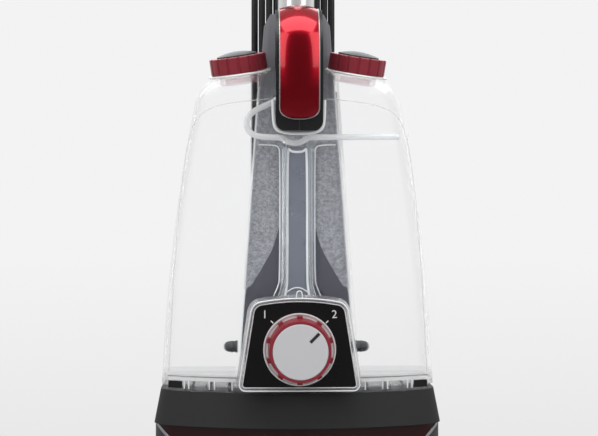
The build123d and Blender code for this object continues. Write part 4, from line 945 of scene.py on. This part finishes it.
def screws(name, body, starts):
    bpy.context.view_layer.update()
    hits = [skin.ray_cast(start, way) for skin, start, way in starts]
    places = [hit[1] for hit in hits]
    facings = [hit[2] for hit in hits]
    new_piece(name, grow(name, screw_tree, screw_sizes, places, facings), body, "steel")


grip_screws = [(0.096, 0.890), (0.096, 0.940), (0.090, 1.012), (0.099, 1.066), (0.147, 1.024), (0.174, 1.072),
               (0.126, 1.101)]
rear_screws = [(housing, 0.085, 0.085), (housing, 0.085, 0.205), (housing, 0.124, 0.235),
               (spine_rear, 0.045, 0.318), (spine_rear, 0.046, 0.402), (spine_rear, 0.018, 0.667)]
beside = 0.2
behind = 0.5
starts = [(grip_right, (beside, y, z), (-1, 0, 0)) for y, z in grip_screws]
for skin, x, z in rear_screws:
    starts += [(skin, (s * x, behind, z), (0, -1, 0)) for s in (-1, 1)]
screws("upright_screws", "upright", starts)

# Foot shells: a black pan and a charcoal hood screwed down on it, both moulded. The clear nozzle with
# its black lip is fitted to the front.
skin_of("base_pan", "base", black)
hood = skin_of("base_hood", "base", charcoal)
hood_screws = [(-0.122, 0.008), (0.122, 0.008), (-0.104, 0.068), (0.104, 0.068)]
above = 0.5
screws("hood_screws", "base", [(hood, (x, y, above), (0, 0, -1)) for x, y in hood_screws])
skin_of("nozzle_duct", "base", tank_clear)
skin_of("nozzle_lip", "base", black)

# Recovery tank: a smoke-tinted moulded bucket and lid that hang in the hood, with a white float
# inside and a black bail to lift them by.
smoke_clear = clear_plastic("smoke_clear", (0.42, 0.43, 0.45), see_through=0.30, ior=1.05, rough=0.02,
                            gloss=0.8)
skin_of("recovery_tank", "recovery", smoke_clear)
skin_of("recovery_lid", "recovery", smoke_clear)
skin_of("recovery_float", "float", nylon)
skin_of("recovery_bail", "bail", black)

# Spin brushes: five geared nylon cups with three rings of tufts. Every tuft is a bunch of tapered
# filaments, crimped into the cup and leaning a little apart.
bristle_nylon = moulding("bristle_nylon", (0.20, 0.20, 0.21), 0.55, vary=0.3, edge=0.05)
bristle_sizes = {"Bristle Length": 0.0286, "Root Radius": 0.00030, "Tip Radius": 0.00018,
                 "Bunch Radius": 0.00105, "Bunch Count": 7, "Splay": 0.05, "Seed": 11}
tuft_rings = {"Inner": (0.011, 14), "Middle": (0.017, 22), "Outer": (0.023, 30)}
for ring, (radius, count) in tuft_rings.items():
    bristle_sizes[ring + " Radius"] = radius
    bristle_sizes[ring + " Count"] = count
bristle_tree, bristle_in = new_tree("bristle_rings", bristle_sizes)
filament = add_node(bristle_tree, "GeometryNodeMeshCone", {"Vertices": 5})
join(bristle_tree, bristle_in, "Tip Radius", filament, "Radius Bottom")
join(bristle_tree, bristle_in, "Root Radius", filament, "Radius Top")
join(bristle_tree, bristle_in, "Bristle Length", filament, "Depth")
hang = add_node(bristle_tree, "ShaderNodeMath", {1: -1}, operation="MULTIPLY")
drop = add_node(bristle_tree, "ShaderNodeCombineXYZ")
hung = add_node(bristle_tree, "GeometryNodeTransform")
join(bristle_tree, bristle_in, "Bristle Length", hang, 0)
join(bristle_tree, hang, 0, drop, "Z")
join(bristle_tree, filament, "Mesh", hung, "Geometry")
join(bristle_tree, drop, 0, hung, "Translation")
bunch_ring = add_node(bristle_tree, "GeometryNodeMeshCircle")
join(bristle_tree, bristle_in, "Bunch Count", bunch_ring, "Vertices")
join(bristle_tree, bristle_in, "Bunch Radius", bunch_ring, "Radius")
lean_low = add_node(bristle_tree, "ShaderNodeMath", {1: -1}, operation="MULTIPLY")
lean = add_node(bristle_tree, "FunctionNodeRandomValue", data_type="FLOAT_VECTOR")
lean_turn = add_node(bristle_tree, "FunctionNodeEulerToRotation")
bunch = add_node(bristle_tree, "GeometryNodeInstanceOnPoints")
join(bristle_tree, bristle_in, "Splay", lean_low, 0)
join(bristle_tree, lean_low, 0, lean, 0)
join(bristle_tree, bristle_in, "Splay", lean, 1)
join(bristle_tree, bristle_in, "Seed", lean, "Seed")
join(bristle_tree, lean, 0, lean_turn, 0)
join(bristle_tree, bunch_ring, "Mesh", bunch, "Points")
join(bristle_tree, hung, "Geometry", bunch, "Instance")
join(bristle_tree, lean_turn, 0, bunch, "Rotation")
rings = add_node(bristle_tree, "GeometryNodeJoinGeometry")
for ring in tuft_rings:
    hoop = add_node(bristle_tree, "GeometryNodeMeshCircle")
    join(bristle_tree, bristle_in, ring + " Count", hoop, "Vertices")
    join(bristle_tree, bristle_in, ring + " Radius", hoop, "Radius")
    join(bristle_tree, hoop, "Mesh", rings, 0)
tufts = add_node(bristle_tree, "GeometryNodeInstanceOnPoints")
join(bristle_tree, rings, 0, tufts, "Points")
join(bristle_tree, bunch, "Instances", tufts, "Instance")
brushed = add_node(bristle_tree, "GeometryNodeInstanceOnPoints")
join(bristle_tree, bristle_in, "Points", brushed, "Points")
join(bristle_tree, tufts, "Instances", brushed, "Instance")
close_tree(bristle_tree, brushed, bristle_nylon)
cup_low = 0.030
for n in range(1, 6):
    brush = "spin_brush_" + str(n)
    skin_of(brush, "brush_" + str(n), charcoal)
    near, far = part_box(brush)
    centre = ((near[0] + far[0]) / 2, (near[1] + far[1]) / 2, cup_low)
    tuft_mesh = grow("bristles_" + str(n), bristle_tree, bristle_sizes, [centre])
    new_piece("bristles_" + str(n), tuft_mesh, "brush_" + str(n), "bristle")

# Brush drive: a charcoal block that carries the brush spindles, a nylon pinion, a rubber belt, and a
# motor in a steel can with its pulley. The block and the motor are fixed in the pan.
skin_of("brush_block", "base", charcoal)
skin_of("drive_pinion", "pinion", nylon)
skin_of("motor_pulley", "pulley", steel)
skin_of("drive_belt", "base", rubber)
skin_of("brush_motor", "base", steel)

# Suction and water: a steel-cased motor with a fan in a moulded housing, and the nylon pump and spray
# bar, all fixed inside the foot.
skin_of("suction_motor", "base", steel)
skin_of("fan_housing", "base", charcoal)
skin_of("fan_impeller", "fan", charcoal)
skin_of("solution_pump", "base", nylon)
skin_of("spray_bar", "base", nylon)

# Wheels: charcoal rims with rubber tyres on a steel axle, and low cross bars moulded round the tread.
# A pedal at the back frees the upright.
skin_of("rear_axle", "base", steel)
tread_sizes = {"Tread Radius": 0.0798, "Bar Count": 46, "Bar Height": 0.0010, "Bar Length": 0.0046,
               "Bar Width": 0.0170}
tread_tree, tread_in = new_tree("tyre_tread", tread_sizes)
tread_ring = add_node(tread_tree, "GeometryNodeMeshCircle")
bar_size = add_node(tread_tree, "ShaderNodeCombineXYZ")
bar = add_node(tread_tree, "GeometryNodeMeshCube")
outward = add_node(tread_tree, "GeometryNodeInputPosition")
bar_turn = add_node(tread_tree, "FunctionNodeAlignRotationToVector", axis="X", pivot_axis="Z")
bars = add_node(tread_tree, "GeometryNodeInstanceOnPoints")
stood = add_node(tread_tree, "GeometryNodeTransform", {"Rotation": (0, math.radians(90), 0)})
tyred = add_node(tread_tree, "GeometryNodeInstanceOnPoints")
join(tread_tree, tread_in, "Bar Count", tread_ring, "Vertices")
join(tread_tree, tread_in, "Tread Radius", tread_ring, "Radius")
for axis, label in (("X", "Bar Height"), ("Y", "Bar Length"), ("Z", "Bar Width")):
    join(tread_tree, tread_in, label, bar_size, axis)
join(tread_tree, bar_size, 0, bar, "Size")
join(tread_tree, outward, 0, bar_turn, "Vector")
join(tread_tree, tread_ring, "Mesh", bars, "Points")
join(tread_tree, bar, "Mesh", bars, "Instance")
join(tread_tree, bar_turn, "Rotation", bars, "Rotation")
join(tread_tree, bars, "Instances", stood, "Geometry")
join(tread_tree, tread_in, "Points", tyred, "Points")
join(tread_tree, stood, "Geometry", tyred, "Instance")
close_tree(tread_tree, tyred, rubber)
for side in ("left", "right"):
    skin_of("wheel_" + side, "wheel_" + side, charcoal)
    skin_of("tyre_" + side, "wheel_" + side, rubber)
    near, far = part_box("tyre_" + side)
    hub = [(a + b) / 2 for a, b in zip(near, far)]
    tread_mesh = grow("tread_" + side, tread_tree, tread_sizes, [hub])
    new_piece("tread_" + side, tread_mesh, "wheel_" + side, "tyre")
skin_of("release_pedal", "pedal", charcoal)
